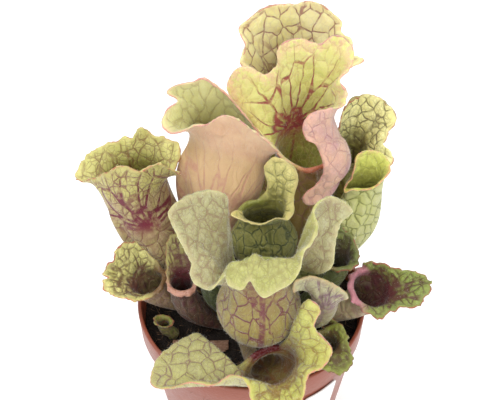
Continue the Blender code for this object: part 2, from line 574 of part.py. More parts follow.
def finish(name, bm, colour, roughness, metallic=0.0):
    """Makes the named object of a mesh, with its material, shaded smooth."""
    mesh = bpy.data.meshes.new(name)
    bm.to_mesh(mesh)
    bm.free()
    mesh.shade_smooth()
    mesh.set_sharp_from_angle(angle=math.radians(50))
    material = bpy.data.materials.new(name)
    material.use_nodes = True
    shader = material.node_tree.nodes["Principled BSDF"]
    shader.inputs["Base Color"].default_value = (*colour, 1.0)
    shader.inputs["Roughness"].default_value = roughness
    shader.inputs["Metallic"].default_value = metallic
    mesh.materials.append(material)
    thing = bpy.data.objects.new(name, mesh)
    bpy.context.scene.collection.objects.link(thing)
    return thing


def turned(profile, sides):
    """A closed solid of revolution from a closed outline of radius and height."""
    bm = bmesh.new()
    loop = [bm.verts.new((r * MM, 0, z * MM)) for r, z in profile]
    edges = [bm.edges.new((a, b)) for a, b in zip(loop, loop[1:])]
    bmesh.ops.spin(
        bm, geom=loop + edges, axis=(0, 0, 1), cent=(0, 0, 0), steps=sides, angle=math.tau, use_merge=True
    )
    bmesh.ops.remove_doubles(bm, verts=bm.verts, dist=0.00001)
    bmesh.ops.recalc_face_normals(bm, faces=bm.faces)
    return bm


def cut(thing, bm, name):
    """Cuts a closed mesh out of an object. The cutter stays, left out of the render."""
    bmesh.ops.recalc_face_normals(bm, faces=bm.faces)
    mesh = bpy.data.meshes.new(name)
    bm.to_mesh(mesh)
    bm.free()
    cutter = bpy.data.objects.new(name, mesh)
    cutter.hide_render = True
    cutter.display_type = "WIRE"
    bpy.context.scene.collection.objects.link(cutter)
    modifier = thing.modifiers.new(name, "BOOLEAN")
    modifier.object = cutter
    modifier.operation = "DIFFERENCE"
    modifier.solver = "EXACT"


def pegs(places, radius, low, high, sides):
    """Separate upright pegs in one mesh."""
    bm = bmesh.new()
    for x, y in places:
        made = bmesh.ops.create_cone(
            bm, cap_ends=True, segments=sides, radius1=radius * MM, radius2=radius * MM,
            depth=(high - low) * MM,
        )
        bmesh.ops.translate(bm, verts=made["verts"], vec=(x * MM, y * MM, (high + low) / 2 * MM))
    return bm


def ring_point(bm, radius, turn, height):
    """A point at a radius, a turn and a height about the pot's axis."""
    return bm.verts.new((radius * cosine(turn) * MM, radius * sine(turn) * MM, height * MM))


def wall_radius(height):
    """The radius of the pot's outer wall below its collar."""
    top = POT_HEIGHT - COLLAR_DROP
    return FOOT_RADIUS + (RIM_RADIUS - COLLAR_STEP - EDGE_ROUND - FOOT_RADIUS) * height / top


def pot():
    """The tapered pot, its collar, and a flat floor with drain holes."""
    top = POT_HEIGHT - COLLAR_DROP
    outside = [
        (0.0, 0.0), (FOOT_RADIUS - EDGE_ROUND, 0.0), (FOOT_RADIUS, EDGE_ROUND), (wall_radius(top), top),
        (RIM_RADIUS - EDGE_ROUND, top + COLLAR_DRAFT), (RIM_RADIUS, POT_HEIGHT - EDGE_ROUND),
        (RIM_RADIUS - 0.4 * EDGE_ROUND, POT_HEIGHT),
    ]
    rim_inside = RIM_RADIUS - POT_WALL
    floor_radius = wall_radius(FLOOR_THICKNESS) - POT_WALL
    inside = [
        (rim_inside, POT_HEIGHT), (rim_inside - 0.4 * EDGE_ROUND, POT_HEIGHT - EDGE_ROUND),
        (wall_radius(top) - POT_WALL, top - COLLAR_DRAFT), (floor_radius, FLOOR_THICKNESS + EDGE_ROUND),
        (floor_radius - EDGE_ROUND, FLOOR_THICKNESS), (0.0, FLOOR_THICKNESS),
    ]
    profile = outside + inside
    thing = finish("pot", turned(profile, POT_SIDES), TERRACOTTA, 0.45)
    turns = [DRAIN_TURN + 360 * i / DRAIN_HOLES for i in range(DRAIN_HOLES)]
    places = [(DRAIN_CIRCLE * cosine(turn), DRAIN_CIRCLE * sine(turn)) for turn in turns]
    cut(thing, pegs(places, DRAIN_RADIUS, -FLOOR_THICKNESS, 2 * FLOOR_THICKNESS, DRAIN_SIDES), "drain_cutter")


def label():
    """A blank white label, bent round the front right of the pot."""
    bm = bmesh.new()
    rings = []
    for height in LABEL_HEIGHTS:
        near = wall_radius(height) + GAP
        for radius in (near, near + LABEL_THICKNESS):
            turns = np.linspace(*LABEL_TURNS, LABEL_STEPS + 1)
            rings.append([ring_point(bm, radius, turn, height) for turn in turns])
    low_in, low_out, high_in, high_out = rings
    for a, b in ((low_out, high_out), (high_out, high_in), (high_in, low_in), (low_in, low_out)):
        for j in range(LABEL_STEPS):
            bm.faces.new((a[j], a[j + 1], b[j + 1], b[j]))
    for j in (0, -1):
        bm.faces.new((low_in[j], low_out[j], high_out[j], high_in[j]))
    bmesh.ops.recalc_face_normals(bm, faces=bm.faces)
    finish("label", bm, WHITE, 0.5)


def peat(leaves):
    """The peat: a loose top with shallow lumps, and a plain hole for each foot."""
    floor = FLOOR_THICKNESS + GAP
    inset = POT_WALL + GAP
    widest = wall_radius(PEAT_SHOULDER) - inset
    lowest = wall_radius(floor) - inset - EDGE_ROUND
    turns = [360 * j / PEAT_SIDES for j in range(PEAT_SIDES)]
    bm = bmesh.new()
    rings = []
    for i in range(1, PEAT_RINGS + 1):
        rings.append([peat_point(bm, widest * i / PEAT_RINGS, turn) for turn in turns])
    below = ((widest, PEAT_SHOULDER), (lowest, floor + PEAT_BEVEL), (lowest - PEAT_BEVEL, floor))
    for radius, height in below:
        rings.append([ring_point(bm, radius, turn, height) for turn in turns])
    middle = bm.verts.new((0, 0, PEAT_TOP * MM))
    bottom = bm.verts.new((0, 0, floor * MM))
    for j in range(PEAT_SIDES):
        k = (j + 1) % PEAT_SIDES
        bm.faces.new((middle, rings[0][j], rings[0][k]))
        bm.faces.new((bottom, rings[-1][k], rings[-1][j]))
        for a, b in zip(rings, rings[1:]):
            bm.faces.new((a[j], b[j], b[k]))
            bm.faces.new((a[j], b[k], a[k]))
    thing = finish("peat", bm, PEAT_BLACK, 0.95)
    places = [leaf.base for leaf in leaves]
    low, high = PEAT_TOP - FOOT_DEPTH - GAP, PEAT_TOP + FOOT_DEPTH
    cut(thing, pegs(places, STALK_RADIUS + HOLE_ROOM, low, high, HOLE_SIDES), "foot_cutter")
    seat = pegs([RHIZOME_PLACE], RHIZOME_RADIUS + GAP, low, high, RHIZOME_SIDES)
    cut(thing, seat, "rhizome_cutter")


def peat_point(bm, radius, turn):
    """A point of the peat's top: shallow lumps by a sum of waves."""
    x, y = radius * cosine(turn), radius * sine(turn)
    lumps = math.sin(0.55 * x + 0.3 * y) * math.cos(0.5 * y - 0.2 * x) + 0.5 * math.sin(0.9 * y + 1.3)
    return ring_point(bm, radius, turn, PEAT_TOP + PEAT_RELIEF * lumps)


def rhizome():
    """The short rootstock that the leaves grow round, half sunk in the peat."""
    low = PEAT_TOP - FOOT_DEPTH
    top = PEAT_TOP + RHIZOME_STANDS
    outline = [
        (0.0, low), (RHIZOME_RADIUS - EDGE_ROUND, low), (RHIZOME_RADIUS, low + EDGE_ROUND),
        (RHIZOME_RADIUS, PEAT_TOP + 1.0), (RHIZOME_RADIUS - EDGE_ROUND, top - 1.0),
        (RHIZOME_RADIUS - 2.0, top), (0.0, top + 0.5 * EDGE_ROUND),
    ]
    bm = turned(outline, RHIZOME_SIDES)
    bmesh.ops.translate(bm, verts=bm.verts, vec=(RHIZOME_PLACE[0] * MM, RHIZOME_PLACE[1] * MM, 0))
    finish("rhizome", bm, BARK_BROWN, 0.8)


def old_leaf():
    """A dry, flattened old leaf base that lies on the peat at the front left and curls up at its tip."""
    bm = bmesh.new()
    rows = []
    for x, y, half, height in OLD_LEAF_SPINE:
        row = []
        for offset, drop in OLD_LEAF_SECTION:
            for side in (0.5, -0.5):
                z = PEAT_TOP + height - drop + side * OLD_LEAF_THICKNESS
                row.append(bm.verts.new((x * MM, (y + offset * half) * MM, z * MM)))
        rows.append(row)
    for low, high in zip(rows, rows[1:]):
        for a, b in ((0, 2), (2, 4), (4, 6), (6, 7), (7, 5), (5, 3), (3, 1), (1, 0)):
            bm.faces.new((low[a], low[b], high[b]))
            bm.faces.new((low[a], high[b], high[a]))
    for row in (rows[0], rows[-1]):
        for a in (0, 2, 4):
            bm.faces.new((row[a], row[a + 2], row[a + 3], row[a + 1]))
    bmesh.ops.recalc_face_normals(bm, faces=bm.faces)
    finish("old_leaf", bm, STRAW, 0.75)


def main():
    for thing in list(bpy.data.objects):
        bpy.data.objects.remove(thing)
    leaves = pitchers()
    pot()
    label()
    peat(leaves)
    rhizome()
    old_leaf()
    for leaf in leaves:
        finish(leaf.name, pitcher_mesh(leaf), leaf.colour, 0.5)


main()
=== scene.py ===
"""A potted pitcher plant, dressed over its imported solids.

The pitchers repeat the numbers of the solids on a finer grid, which carries attributes for the veins,
the margins and the down. Lengths are millimetres in the numbers and metres in the meshes, turns are
degrees, and +Z is up. The origin is the middle of the pot's foot, and the plant's front faces -Y.
"""

import logging
import math
from collections.abc import Iterator
from dataclasses import dataclass, field
from enum import Enum
from typing import Any

import bpy
import numpy as np
from mathutils import Matrix, Vector, noise


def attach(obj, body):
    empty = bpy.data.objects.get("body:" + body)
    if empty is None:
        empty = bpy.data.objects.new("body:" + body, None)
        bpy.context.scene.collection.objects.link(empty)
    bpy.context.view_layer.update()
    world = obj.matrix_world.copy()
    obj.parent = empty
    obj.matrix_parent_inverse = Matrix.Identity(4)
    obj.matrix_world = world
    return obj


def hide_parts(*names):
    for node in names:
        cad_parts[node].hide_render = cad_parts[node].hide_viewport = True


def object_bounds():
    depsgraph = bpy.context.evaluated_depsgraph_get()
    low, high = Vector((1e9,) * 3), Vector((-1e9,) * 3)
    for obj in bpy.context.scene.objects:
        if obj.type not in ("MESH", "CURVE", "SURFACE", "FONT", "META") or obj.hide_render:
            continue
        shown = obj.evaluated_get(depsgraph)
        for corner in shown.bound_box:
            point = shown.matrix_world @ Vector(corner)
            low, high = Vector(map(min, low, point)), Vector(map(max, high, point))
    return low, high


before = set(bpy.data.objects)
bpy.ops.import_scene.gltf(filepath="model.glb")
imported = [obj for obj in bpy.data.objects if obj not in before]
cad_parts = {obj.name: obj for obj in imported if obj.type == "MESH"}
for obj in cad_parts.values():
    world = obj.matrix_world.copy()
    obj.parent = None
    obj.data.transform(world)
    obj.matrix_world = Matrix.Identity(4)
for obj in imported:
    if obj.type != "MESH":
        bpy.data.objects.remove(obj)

Colour = int | tuple[float, float, float]
Socket = bpy.types.NodeSocket

LOG = logging.getLogger("pitcher_plant")
MM = 0.001
BODY = "root"
POT_HEIGHT = 78.0
PEAT_TOP = 69.0
LABEL_GAP = 0.3
START_LOW, START_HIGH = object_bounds()


class Slot(Enum):
    """The record's material slots."""

    GREEN = "leaf_green"
    PALE = "leaf_pale"
    DARK = "leaf_dark"
    BLUSH = "leaf_blush"
    MAROON = "leaf_maroon"
    DRY = "dry_leaf"
    LABEL = "label_paper"
    PEAT = "peat"
    RHIZOME = "rhizome"
    POT = "pot_plastic"


def srgb(code: int) -> tuple:
    """A display colour, given as 0xRRGGBB, as the linear one that shaders take."""
    parts = [c / 255 for c in code.to_bytes(3, "big")]
    return tuple(((c + 0.055) / 1.055) ** 2.4 if c > 0.04045 else c / 12.92 for c in parts)


def cosine(degrees: float) -> float:
    """The cosine of an angle in degrees."""
    return math.cos(math.radians(degrees))


def sine(degrees: float) -> float:
    """The sine of an angle in degrees."""
    return math.sin(math.radians(degrees))


def unit(vectors: np.ndarray) -> np.ndarray:
    """The vectors at length one."""
    return vectors / np.maximum(np.linalg.norm(vectors, axis=-1, keepdims=True), 1e-9)


def hermite(t: np.ndarray, start: Any, end: Any, start_slope: Any, end_slope: Any) -> np.ndarray:
    """A cubic between two values with their slopes."""
    leaving = start * (2 * t**3 - 3 * t**2 + 1) + start_slope * (t**3 - 2 * t**2 + t)
    return leaving + end * (3 * t**2 - 2 * t**3) + end_slope * (t**3 - t**2)


def smooth_profile(keys: Any, values: Any, at: np.ndarray) -> np.ndarray:
    """A curve through values at rising keys that never overshoots them.

    Args:
        keys: Rising places along the curve.
        values: Its value at each key.
        at: The places to read.

    Returns:
        The values there.
    """
    keys, values = np.asarray(keys, float), np.asarray(values, float)
    steps = np.diff(keys)
    slopes = np.diff(values) / steps
    same_way = slopes[:-1] * slopes[1:] > 0
    shared = 2 * slopes[:-1] * slopes[1:] / np.where(same_way, slopes[:-1] + slopes[1:], 1.0)
    tangents = np.concatenate([slopes[:1], np.where(same_way, shared, 0.0), [0.0]])
    i = np.clip(np.searchsorted(keys, at, side="right") - 1, 0, len(steps) - 1)
    t = (at - keys[i]) / steps[i]
    return hermite(t, values[i], values[i + 1], tangents[i] * steps[i], tangents[i + 1] * steps[i])


def closed_curve(turns: np.ndarray, values: np.ndarray, at: np.ndarray) -> np.ndarray:
    """A smooth closed curve through rows of values at turns, read at other turns.

    Args:
        turns: Rising turns in degrees, 0 to 360.
        values: One row for each turn.
        at: The turns to read, in degrees.

    Returns:
        One row for each turn of `at`.
    """
    count = len(turns)
    ahead = np.mod(np.roll(turns, -1) - turns, 360)
    slope = (np.roll(values, -1, 0) - values) / ahead[:, None]
    before, behind = np.roll(slope, 1, 0), np.roll(ahead, 1)
    tangent = (before * ahead[:, None] + slope * behind[:, None]) / (ahead + behind)[:, None]
    place = np.mod(at - turns[0], 360) + turns[0]
    i = np.clip(np.searchsorted(turns, place, side="right") - 1, 0, count - 1)
    j = (i + 1) % count
    span = ahead[i][:, None]
    t = (place - turns[i])[:, None] / span
    return hermite(t, values[i], values[j], tangent[i] * span, tangent[j] * span)


def cubic(a: Any, b: Any, c: Any, d: Any, t: np.ndarray) -> np.ndarray:
    """Places on a cubic curve with four control points."""
    return (1 - t) ** 3 * a + 3 * t * (1 - t) ** 2 * b + 3 * t * t * (1 - t) * c + t**3 * d


def lumps(points: np.ndarray, size: float, seed: float = 0.0) -> np.ndarray:
    """Smooth noise, about -1 to 1, at points in millimetres, with lumps of a size."""
    flat = points.reshape(-1, 3) / size + seed
    return np.array([noise.noise(Vector(p)) for p in flat]).reshape(points.shape[:-1])


class Graph:
    """Adds nodes to one node tree and links them."""

    def __init__(self, tree: bpy.types.NodeTree) -> None:
        """Keeps the tree."""
        self.tree = tree

    def node(self, kind: str, inputs: dict[Any, Any] | None = None, **settings: Any) -> bpy.types.Node:
        """Adds a node.

        Args:
            kind: The node's type name.
            inputs: Values and sources, by the inputs' names or numbers.
            **settings: Properties of the node.

        Returns:
            The node.
        """
        made = self.tree.nodes.new(kind)
        for name, value in settings.items():
            setattr(made, name, value)
        self.fill(made, inputs or {})
        return made

    def fill(self, node: bpy.types.Node, inputs: dict[Any, Any]) -> None:
        """Links a node's inputs to their sources, or sets their values.

        Args:
            node: The node.
            inputs: Values and sources, by the inputs' names or numbers. None leaves one as it is.
        """
        for key, value in inputs.items():
            socket = node.inputs[key]
            if isinstance(value, Socket):
                self.tree.links.new(value, socket)
            elif value is not None:
                colour = srgb(value) if socket.type == "RGBA" and isinstance(value, int) else value
                socket.default_value = (*colour, 1.0) if socket.type == "RGBA" and len(colour) == 3 else value

    def math(self, operation: str, a: Any, b: Any = None, c: Any = None, clamp: bool = False) -> Socket:
        """A Math node's value."""
        made = self.node("ShaderNodeMath", {0: a, 1: b, 2: c}, operation=operation, use_clamp=clamp)
        return made.outputs[0]

    def times(self, first: Any, *others: Any) -> Socket:
        """The product of values.

        Args:
            first: The first.
            *others: The others.

        Returns:
            Its socket.
        """
        for value in others:
            first = self.math("MULTIPLY", first, value)
        return first

    def vector(self, operation: str, a: Any, b: Any = None, scale: Any = None) -> Socket:
        """A Vector Math node's vector."""
        return self.node("ShaderNodeVectorMath", {0: a, 1: b, 3: scale}, operation=operation).outputs[0]

    def mix(self, factor: Any, a: Any, b: Any) -> Socket:
        """A colour between two."""
        return self.node("ShaderNodeMix", {0: factor, 6: a, 7: b}, data_type="RGBA").outputs[2]

    def step(self, value: Any, low: Any, high: Any, start: Any = 0.0, end: Any = 1.0) -> Socket:
        """A smooth step of a value from one level to another."""
        inputs = {0: value, 1: low, 2: high, 3: start, 4: end}
        return self.node("ShaderNodeMapRange", inputs, interpolation_type="SMOOTHSTEP").outputs[0]

    def noise(self, vector: Any, scale: float, detail: float) -> bpy.types.Node:
        """A Noise Texture node."""
        return self.node("ShaderNodeTexNoise", {"Vector": vector, "Scale": scale, "Detail": detail})

    def cells(self, vector: Any, randomness: float) -> Socket:
        """The distance to the nearest border between random cells of about size one."""
        inputs = {"Vector": vector, "Scale": 1.0, "Randomness": randomness}
        return self.node("ShaderNodeTexVoronoi", inputs, feature="DISTANCE_TO_EDGE").outputs["Distance"]

    def split(self, vector: Any) -> tuple[Socket, ...]:
        """The three parts of a vector."""
        return tuple(self.node("ShaderNodeSeparateXYZ", {0: vector}).outputs)

    def join(self, x: Any, y: Any, z: Any) -> Socket:
        """A vector of three parts."""
        return self.node("ShaderNodeCombineXYZ", {0: x, 1: y, 2: z}).outputs[0]

    def attribute(self, name: str, output: str = "Fac") -> Socket:
        """The mesh's attribute."""
        return self.node("ShaderNodeAttribute", attribute_name=name).outputs[output]

    def place(self) -> Socket:
        """Object coordinates in millimetres."""
        return self.vector("SCALE", self.node("ShaderNodeTexCoord").outputs["Object"], scale=1 / MM)


def shared_group(name: str, inputs: dict[str, Any], outputs: tuple[str, ...]) -> tuple[Any, Graph, Any, Any]:
    """Starts a shader node group.

    Args:
        name: The group's name.
        inputs: A default for each named input; a tuple makes a vector.
        outputs: The names of the float outputs.

    Returns:
        The group, its graph, its inputs as sources, and its output node.
    """
    tree = bpy.data.node_groups.new(name, "ShaderNodeTree")
    for label, value in inputs.items():
        kind = "NodeSocketVector" if isinstance(value, tuple) else "NodeSocketFloat"
        tree.interface.new_socket(name=label, in_out="INPUT", socket_type=kind).default_value = value
    for label in outputs:
        tree.interface.new_socket(name=label, in_out="OUTPUT", socket_type="NodeSocketFloat")
    g = Graph(tree)
    return tree, g, g.node("NodeGroupInput").outputs, g.node("NodeGroupOutput")


def vein_group() -> bpy.types.NodeTree:
    """The veins of a leaf as masks: main ribs that fan out from a hub, a net, and a finer net.

    Returns:
        The shader node group.
    """
    tree, g, take, out = shared_group("leaf_veins", {
        "Net": (0.0, 0.0, 0.0), "Reach": (0.0, 0.0, 0.0), "Cell": 5.0, "Stretch": 1.4, "Net Width": 0.3,
        "Rib Turn": 24.0, "Rib Width": 0.8, "Rib Length": 26.0, "Below": 0.3,
    }, ("Ribs", "Net", "Fine", "Pillow"))
    drift = g.vector("SUBTRACT", g.noise(take["Net"], 0.14, 2.0).outputs["Color"], (0.5, 0.5, 0.5))
    drift = g.vector("SCALE", drift, scale=3.4)
    x, y, z = g.split(g.vector("ADD", take["Net"], drift))
    tall = g.times(take["Cell"], take["Stretch"])
    scales = (take["Cell"], take["Cell"], tall)
    solid = g.join(*(g.math("DIVIDE", part, scale) for part, scale in zip((x, y, z), scales)))
    border = g.cells(solid, 0.85)
    width = g.math("DIVIDE", take["Net Width"], take["Cell"])
    fine_border = g.cells(g.vector("SCALE", solid, scale=2.6), 1.0)
    # Main ribs: borders of cells drawn out away from the hub, so that they fork; thinner further out
    across, up, _ = g.split(g.vector("ADD", take["Reach"], g.vector("SCALE", drift, scale=0.7)))
    reach = g.math("SQRT", g.math("ADD", g.math("POWER", across, 2.0), g.math("POWER", up, 2.0)))
    turn = g.math("RADIANS", take["Rib Turn"])
    phase = g.math("DIVIDE", g.math("ARCTAN2", across, up), turn)
    ring = g.math("LOGARITHM", g.math("MAXIMUM", reach, 1.0), 3.4)
    off = g.times(g.cells(g.join(phase, ring, 0.5), 0.7), turn, reach)
    far = g.math("DIVIDE", reach, take["Rib Length"])
    thick = g.times(take["Rib Width"], g.step(far, 0.0, 1.0, 1.0, 0.4))
    line = g.step(off, g.times(thick, 0.35), thick, 1.0, 0.0)
    line = g.times(line, g.step(up, -4.0, 2.0, take["Below"], 1.0))
    g.fill(out, {
        "Ribs": g.times(line, g.step(far, 0.55, 1.1, 1.0, 0.0)), "Pillow": g.step(border, 0.0, 0.45),
        "Net": g.step(border, g.times(width, 0.3), width, 1.0, 0.0),
        "Fine": g.step(fine_border, 0.02, 0.1, 1.0, 0.0),
    })
    return tree


def mottle_group() -> bpy.types.NodeTree:
    """Two soft mottles and a fine grain, as masks, at a size in millimetres.

    Returns:
        The shader node group.
    """
    inputs = {"Place": (0.0, 0.0, 0.0), "Size": 10.0}
    tree, g, take, out = shared_group("mottle", inputs, ("Broad", "Small", "Grain"))
    place = g.vector("SCALE", take["Place"], scale=g.math("DIVIDE", 1.0, take["Size"]))
    for label, scale, detail in (("Broad", 1.0, 2.0), ("Small", 4.0, 3.0), ("Grain", 24.0, 2.0)):
        g.fill(out, {label: g.step(g.noise(place, scale, detail).outputs["Fac"], 0.3, 0.7)})
    return tree


class Finish:
    """Common to all finishes: a material with one Principled shader, and the shared groups."""

    groups: dict[str, bpy.types.NodeTree] = {}

    @staticmethod
    def start(name: str) -> tuple[bpy.types.Material, Graph, bpy.types.Node]:
        """Makes a material.

        Args:
            name: Its name.

        Returns:
            The material, its graph and its shader.
        """
        material = bpy.data.materials.new(name)
        material.use_nodes = True
        return material, Graph(material.node_tree), material.node_tree.nodes["Principled BSDF"]

    @classmethod
    def shared(cls, g: Graph, name: str, inputs: dict[str, Any]) -> Any:
        """Places a shared group in a graph.

        Args:
            g: The graph.
            name: The group: veins or mottle.
            inputs: Values and sources, by name.

        Returns:
            The group's outputs.
        """
        if name not in cls.groups:
            cls.groups[name] = {"veins": vein_group, "mottle": mottle_group}[name]()
        return g.node("ShaderNodeGroup", node_tree=cls.groups[name], inputs=inputs).outputs

    @staticmethod
    def relief(g: Graph, height: Socket, depth: float) -> Socket:
        """The normal of a bump of this depth in millimetres."""
        inputs = {"Distance": depth * MM, "Strength": 1.0, "Height": height}
        return g.node("ShaderNodeBump", inputs).outputs["Normal"]


@dataclass(frozen=True)
class LeafFinish(Finish):
    """The colours and veins of one pitcher; `back` and `belly` are its outside."""

    hood: Colour = 0xCDD070
    hood_deep: Colour = 0xA5AF4E
    # throat: the inside of the tube and the foot of the hood's inner face; partly the leaf's own deeper
    # colour, partly painted shade of the hollow
    throat: Colour = 0x696E30
    belly: Colour = 0x969E46
    back: Colour = 0xB2BE78
    back_deep: Colour = 0xA0A06E
    vein: Colour = 0x6E2D32
    vein_back: Colour = 0x78555F
    margin: Colour = 0xCD7869
    blush: Colour = 0xD7A582
    hub: Colour = 0x87192D
    lip: Colour = 0x786E3C
    margin_width: float = 0.7
    blush_width: float = 4.0
    blush_strength: float = 0.4
    cell: float = 5.0
    stretch: float = 1.35
    net_width: float = 0.32
    net: float = 0.7
    net_back: float = 0.5
    net_belly: float = 1.0
    fine: float = 0.3
    mesh: float = 0.0
    halo: float = 0.5
    rib_turn: float = 24.0
    rib_width: float = 0.8
    rib_length: float = 26.0
    below: float = 0.3
    rib: float = 0.85
    rib_back: float = 0.6
    keel: float = 0.7
    hub_strength: float = 0.8
    roughness: float = 0.48
    sheen: float = 0.15

    def material(self, name: str) -> bpy.types.Material:
        """Builds the leaf's material.

        Args:
            name: The material's name.

        Returns:
            The material.
        """
        material, g, shader = self.start(name)
        inside, hood, edge, hub, lip, keel = (
            g.attribute(label) for label in ("inside", "hood", "edge", "hub", "lip", "keel")
        )
        place = g.place()
        veins = self.shared(g, "veins", {
            "Net": place, "Reach": g.attribute("reach", "Vector"), "Cell": self.cell, "Stretch": self.stretch,
            "Net Width": g.math("MULTIPLY_ADD", hub, 0.2, self.net_width), "Below": self.below,
            "Rib Width": g.math("MULTIPLY_ADD", hub, 0.5, self.rib_width), "Rib Turn": self.rib_turn,
            "Rib Length": self.rib_length,
        })
        mottle = self.shared(g, "mottle", {"Place": place, "Size": 9.0})
        broad, small = mottle["Broad"], mottle["Small"]
        face = g.mix(g.times(broad, 0.7), self.hood, self.hood_deep)
        # Inside: the throat colour low in the tube and at the foot of the hood, partly painted shade of the
        # hollow, up to the hood's face colour
        front = g.mix(g.step(hood, 0.0, 0.45), self.throat, face)
        behind = g.mix(g.step(hood, 0.0, 0.3), self.belly, g.mix(broad, self.back, self.back_deep))
        base = g.mix(inside, behind, front)
        vein = g.mix(inside, self.vein_back, self.vein)
        beside = g.math("SUBTRACT", 1.0, veins["Pillow"])
        halo = g.times(beside, g.step(broad, 0.0, 1.0, self.halo, 0.4 * self.halo))
        base = g.mix(halo, base, g.mix(0.35, self.hood_deep, vein))
        soft = g.times(g.step(edge, 0.0, self.blush_width, 1.0, 0.0), self.blush_strength)
        base = g.mix(g.times(soft, g.step(small, 0.0, 0.6)), base, self.blush)
        net_back = g.step(hood, 0.0, 0.3, self.net_back * self.net_belly, self.net_back)
        net = g.times(veins["Net"], g.step(inside, 0.0, 1.0, net_back, self.net))
        pale = tuple(min(1.0, 1.35 * c) for c in srgb(self.hood))
        base = g.mix(g.times(veins["Fine"], inside, self.mesh), base, pale)
        rib = g.times(veins["Ribs"], g.step(inside, 0.0, 1.0, self.rib_back, self.rib))
        rib = g.math("MAXIMUM", rib, g.step(keel, 0.35, 1.0, self.keel, 0.0))
        drawn = g.math("MAXIMUM", g.math("MAXIMUM", net, g.times(veins["Fine"], self.fine)), rib)
        drawn = g.times(drawn, g.step(edge, 0.4, 3.0))
        drawn = g.math("MULTIPLY", drawn, g.step(small, -0.6, 0.7), clamp=True)
        base = g.mix(drawn, base, vein)
        crimson = g.times(hub, self.hub_strength, g.step(small, -0.4, 0.6))
        crimson = g.math("MULTIPLY", crimson, g.math("MULTIPLY_ADD", rib, 0.8, 0.2), clamp=True)
        base = g.mix(crimson, base, self.hub)
        line = g.times(g.step(edge, 0.3, self.margin_width, 1.0, 0.0), g.step(small, 0.1, 0.8, 0.2, 0.75))
        base = g.mix(lip, g.mix(line, base, self.margin), self.lip)
        rough = g.math("MULTIPLY_ADD", lip, -0.2, g.math("MULTIPLY_ADD", small, 0.1, self.roughness - 0.05))
        height = g.math("SUBTRACT", g.times(veins["Pillow"], 0.6), g.times(drawn, 0.5))
        height = g.math("MULTIPLY_ADD", mottle["Grain"], 0.12, height)
        g.fill(shader, {
            "Base Color": base, "Roughness": rough, "Normal": self.relief(g, height, 0.6),
            "Sheen Weight": self.sheen, "Sheen Roughness": 0.4, "Subsurface Weight": 0.12,
            "Subsurface Radius": (1.0, 0.8, 0.3), "Subsurface Scale": 1.2 * MM,
        })
        return material


@dataclass(frozen=True)
class DownFinish(Finish):
    """The fine hairs of the leaves."""

    name: str = "down"
    colour: Colour = 0xEBECE1

    def material(self) -> bpy.types.Material:
        """Builds the hairs' material.

        Returns:
            The material.
        """
        material, g, shader = self.start(self.name)
        mottle = self.shared(g, "mottle", {"Place": g.place(), "Size": 6.0})
        dull = tuple(0.8 * c for c in srgb(self.colour))
        g.fill(shader, {"Base Color": g.mix(mottle["Broad"], self.colour, dull), "Roughness": 0.4})
        return material


@dataclass(frozen=True)
class GroundFinish(Finish):
    """Peat, bark and other mottled, fibrous matter."""

    name: str
    dark: Colour
    light: Colour
    size: float = 3.0
    roughness: float = 0.9
    depth: float = 0.8
    stretch: tuple[float, float, float] = (1.0, 1.0, 1.0)

    def material(self) -> bpy.types.Material:
        """Builds the material.

        Returns:
            The material.
        """
        material, g, shader = self.start(self.name)
        place = g.vector("MULTIPLY", g.place(), self.stretch)
        mottle = self.shared(g, "mottle", {"Place": place, "Size": self.size})
        small = g.times(mottle["Small"], g.math("MULTIPLY_ADD", mottle["Grain"], 0.6, 0.4))
        g.fill(shader, {
            "Base Color": g.mix(small, self.dark, self.light),
            "Roughness": g.math("MULTIPLY_ADD", mottle["Broad"], 0.08, self.roughness - 0.08),
            "Normal": self.relief(g, g.math("ADD", small, mottle["Broad"]), self.depth),
        })
        return material


@dataclass(frozen=True)
class PlasticFinish(Finish):
    """Moulded plastic with a slight bloom and scuffs."""

    name: str
    colour: Colour
    worn: Colour
    roughness: float
    specks: float

    def material(self) -> bpy.types.Material:
        """Builds the material.

        Returns:
            The material.
        """
        material, g, shader = self.start(self.name)
        place = g.place()
        mottle = self.shared(g, "mottle", {"Place": place, "Size": 22.0})
        flat = g.vector("MULTIPLY", place, (1.0, 1.0, 6.0))
        scuffs = self.shared(g, "mottle", {"Place": flat, "Size": 9.0})
        wear = g.times(scuffs["Small"], mottle["Broad"])
        g.fill(shader, {
            "Base Color": g.mix(g.times(wear, self.specks), self.colour, self.worn),
            "Roughness": g.math("MULTIPLY_ADD", wear, 0.25, self.roughness),
            "Normal": self.relief(g, mottle["Grain"], 0.05),
        })
        return material


def linked(name: str, data: bpy.types.ID) -> bpy.types.Object:
    """A new object of a mesh, a lamp or a camera, linked to the scene.

    Args:
        name: Its name.
        data: The mesh, lamp or camera.

    Returns:
        The object.
    """
    thing = bpy.data.objects.new(name, data)
    bpy.context.scene.collection.objects.link(thing)
    return thing


def mesh_object(name: str, points: np.ndarray, faces: list, material: bpy.types.Material) -> bpy.types.Object:
    """Makes an object of a mesh in millimetres, shaded smooth and held inside the solids' box.

    Args:
        name: The piece's name.
        points: One row of x, y, z for each vertex.
        faces: The corners of each face.
        material: The finish.

    Returns:
        The object, linked to the scene.
    """
    low, high = np.array(START_LOW) / MM, np.array(START_HIGH) / MM
    mesh = bpy.data.meshes.new(name)
    mesh.from_pydata((np.clip(points, low, high) * MM).tolist(), [], faces)
    mesh.materials.append(material)
    mesh.shade_smooth()
    return linked(name, mesh)


def piece(thing: bpy.types.Object, slot: Slot, *nodes: str) -> None:
    """Attaches a finished piece to the root body and hides the solids that it stands for.

    Args:
        thing: The piece.
        slot: Its material slot; not used.
        *nodes: The solids that it stands for.
    """
    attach(thing, BODY)
    if nodes:
        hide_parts(*nodes)
    LOG.info("%s: %d faces", thing.name, len(thing.data.polygons))


def evaluated_mesh(thing: bpy.types.Object) -> bpy.types.Mesh:
    """The mesh that an object's modifiers make."""
    bpy.context.view_layer.update()
    return bpy.data.meshes.new_from_object(thing.evaluated_get(bpy.context.evaluated_depsgraph_get()))


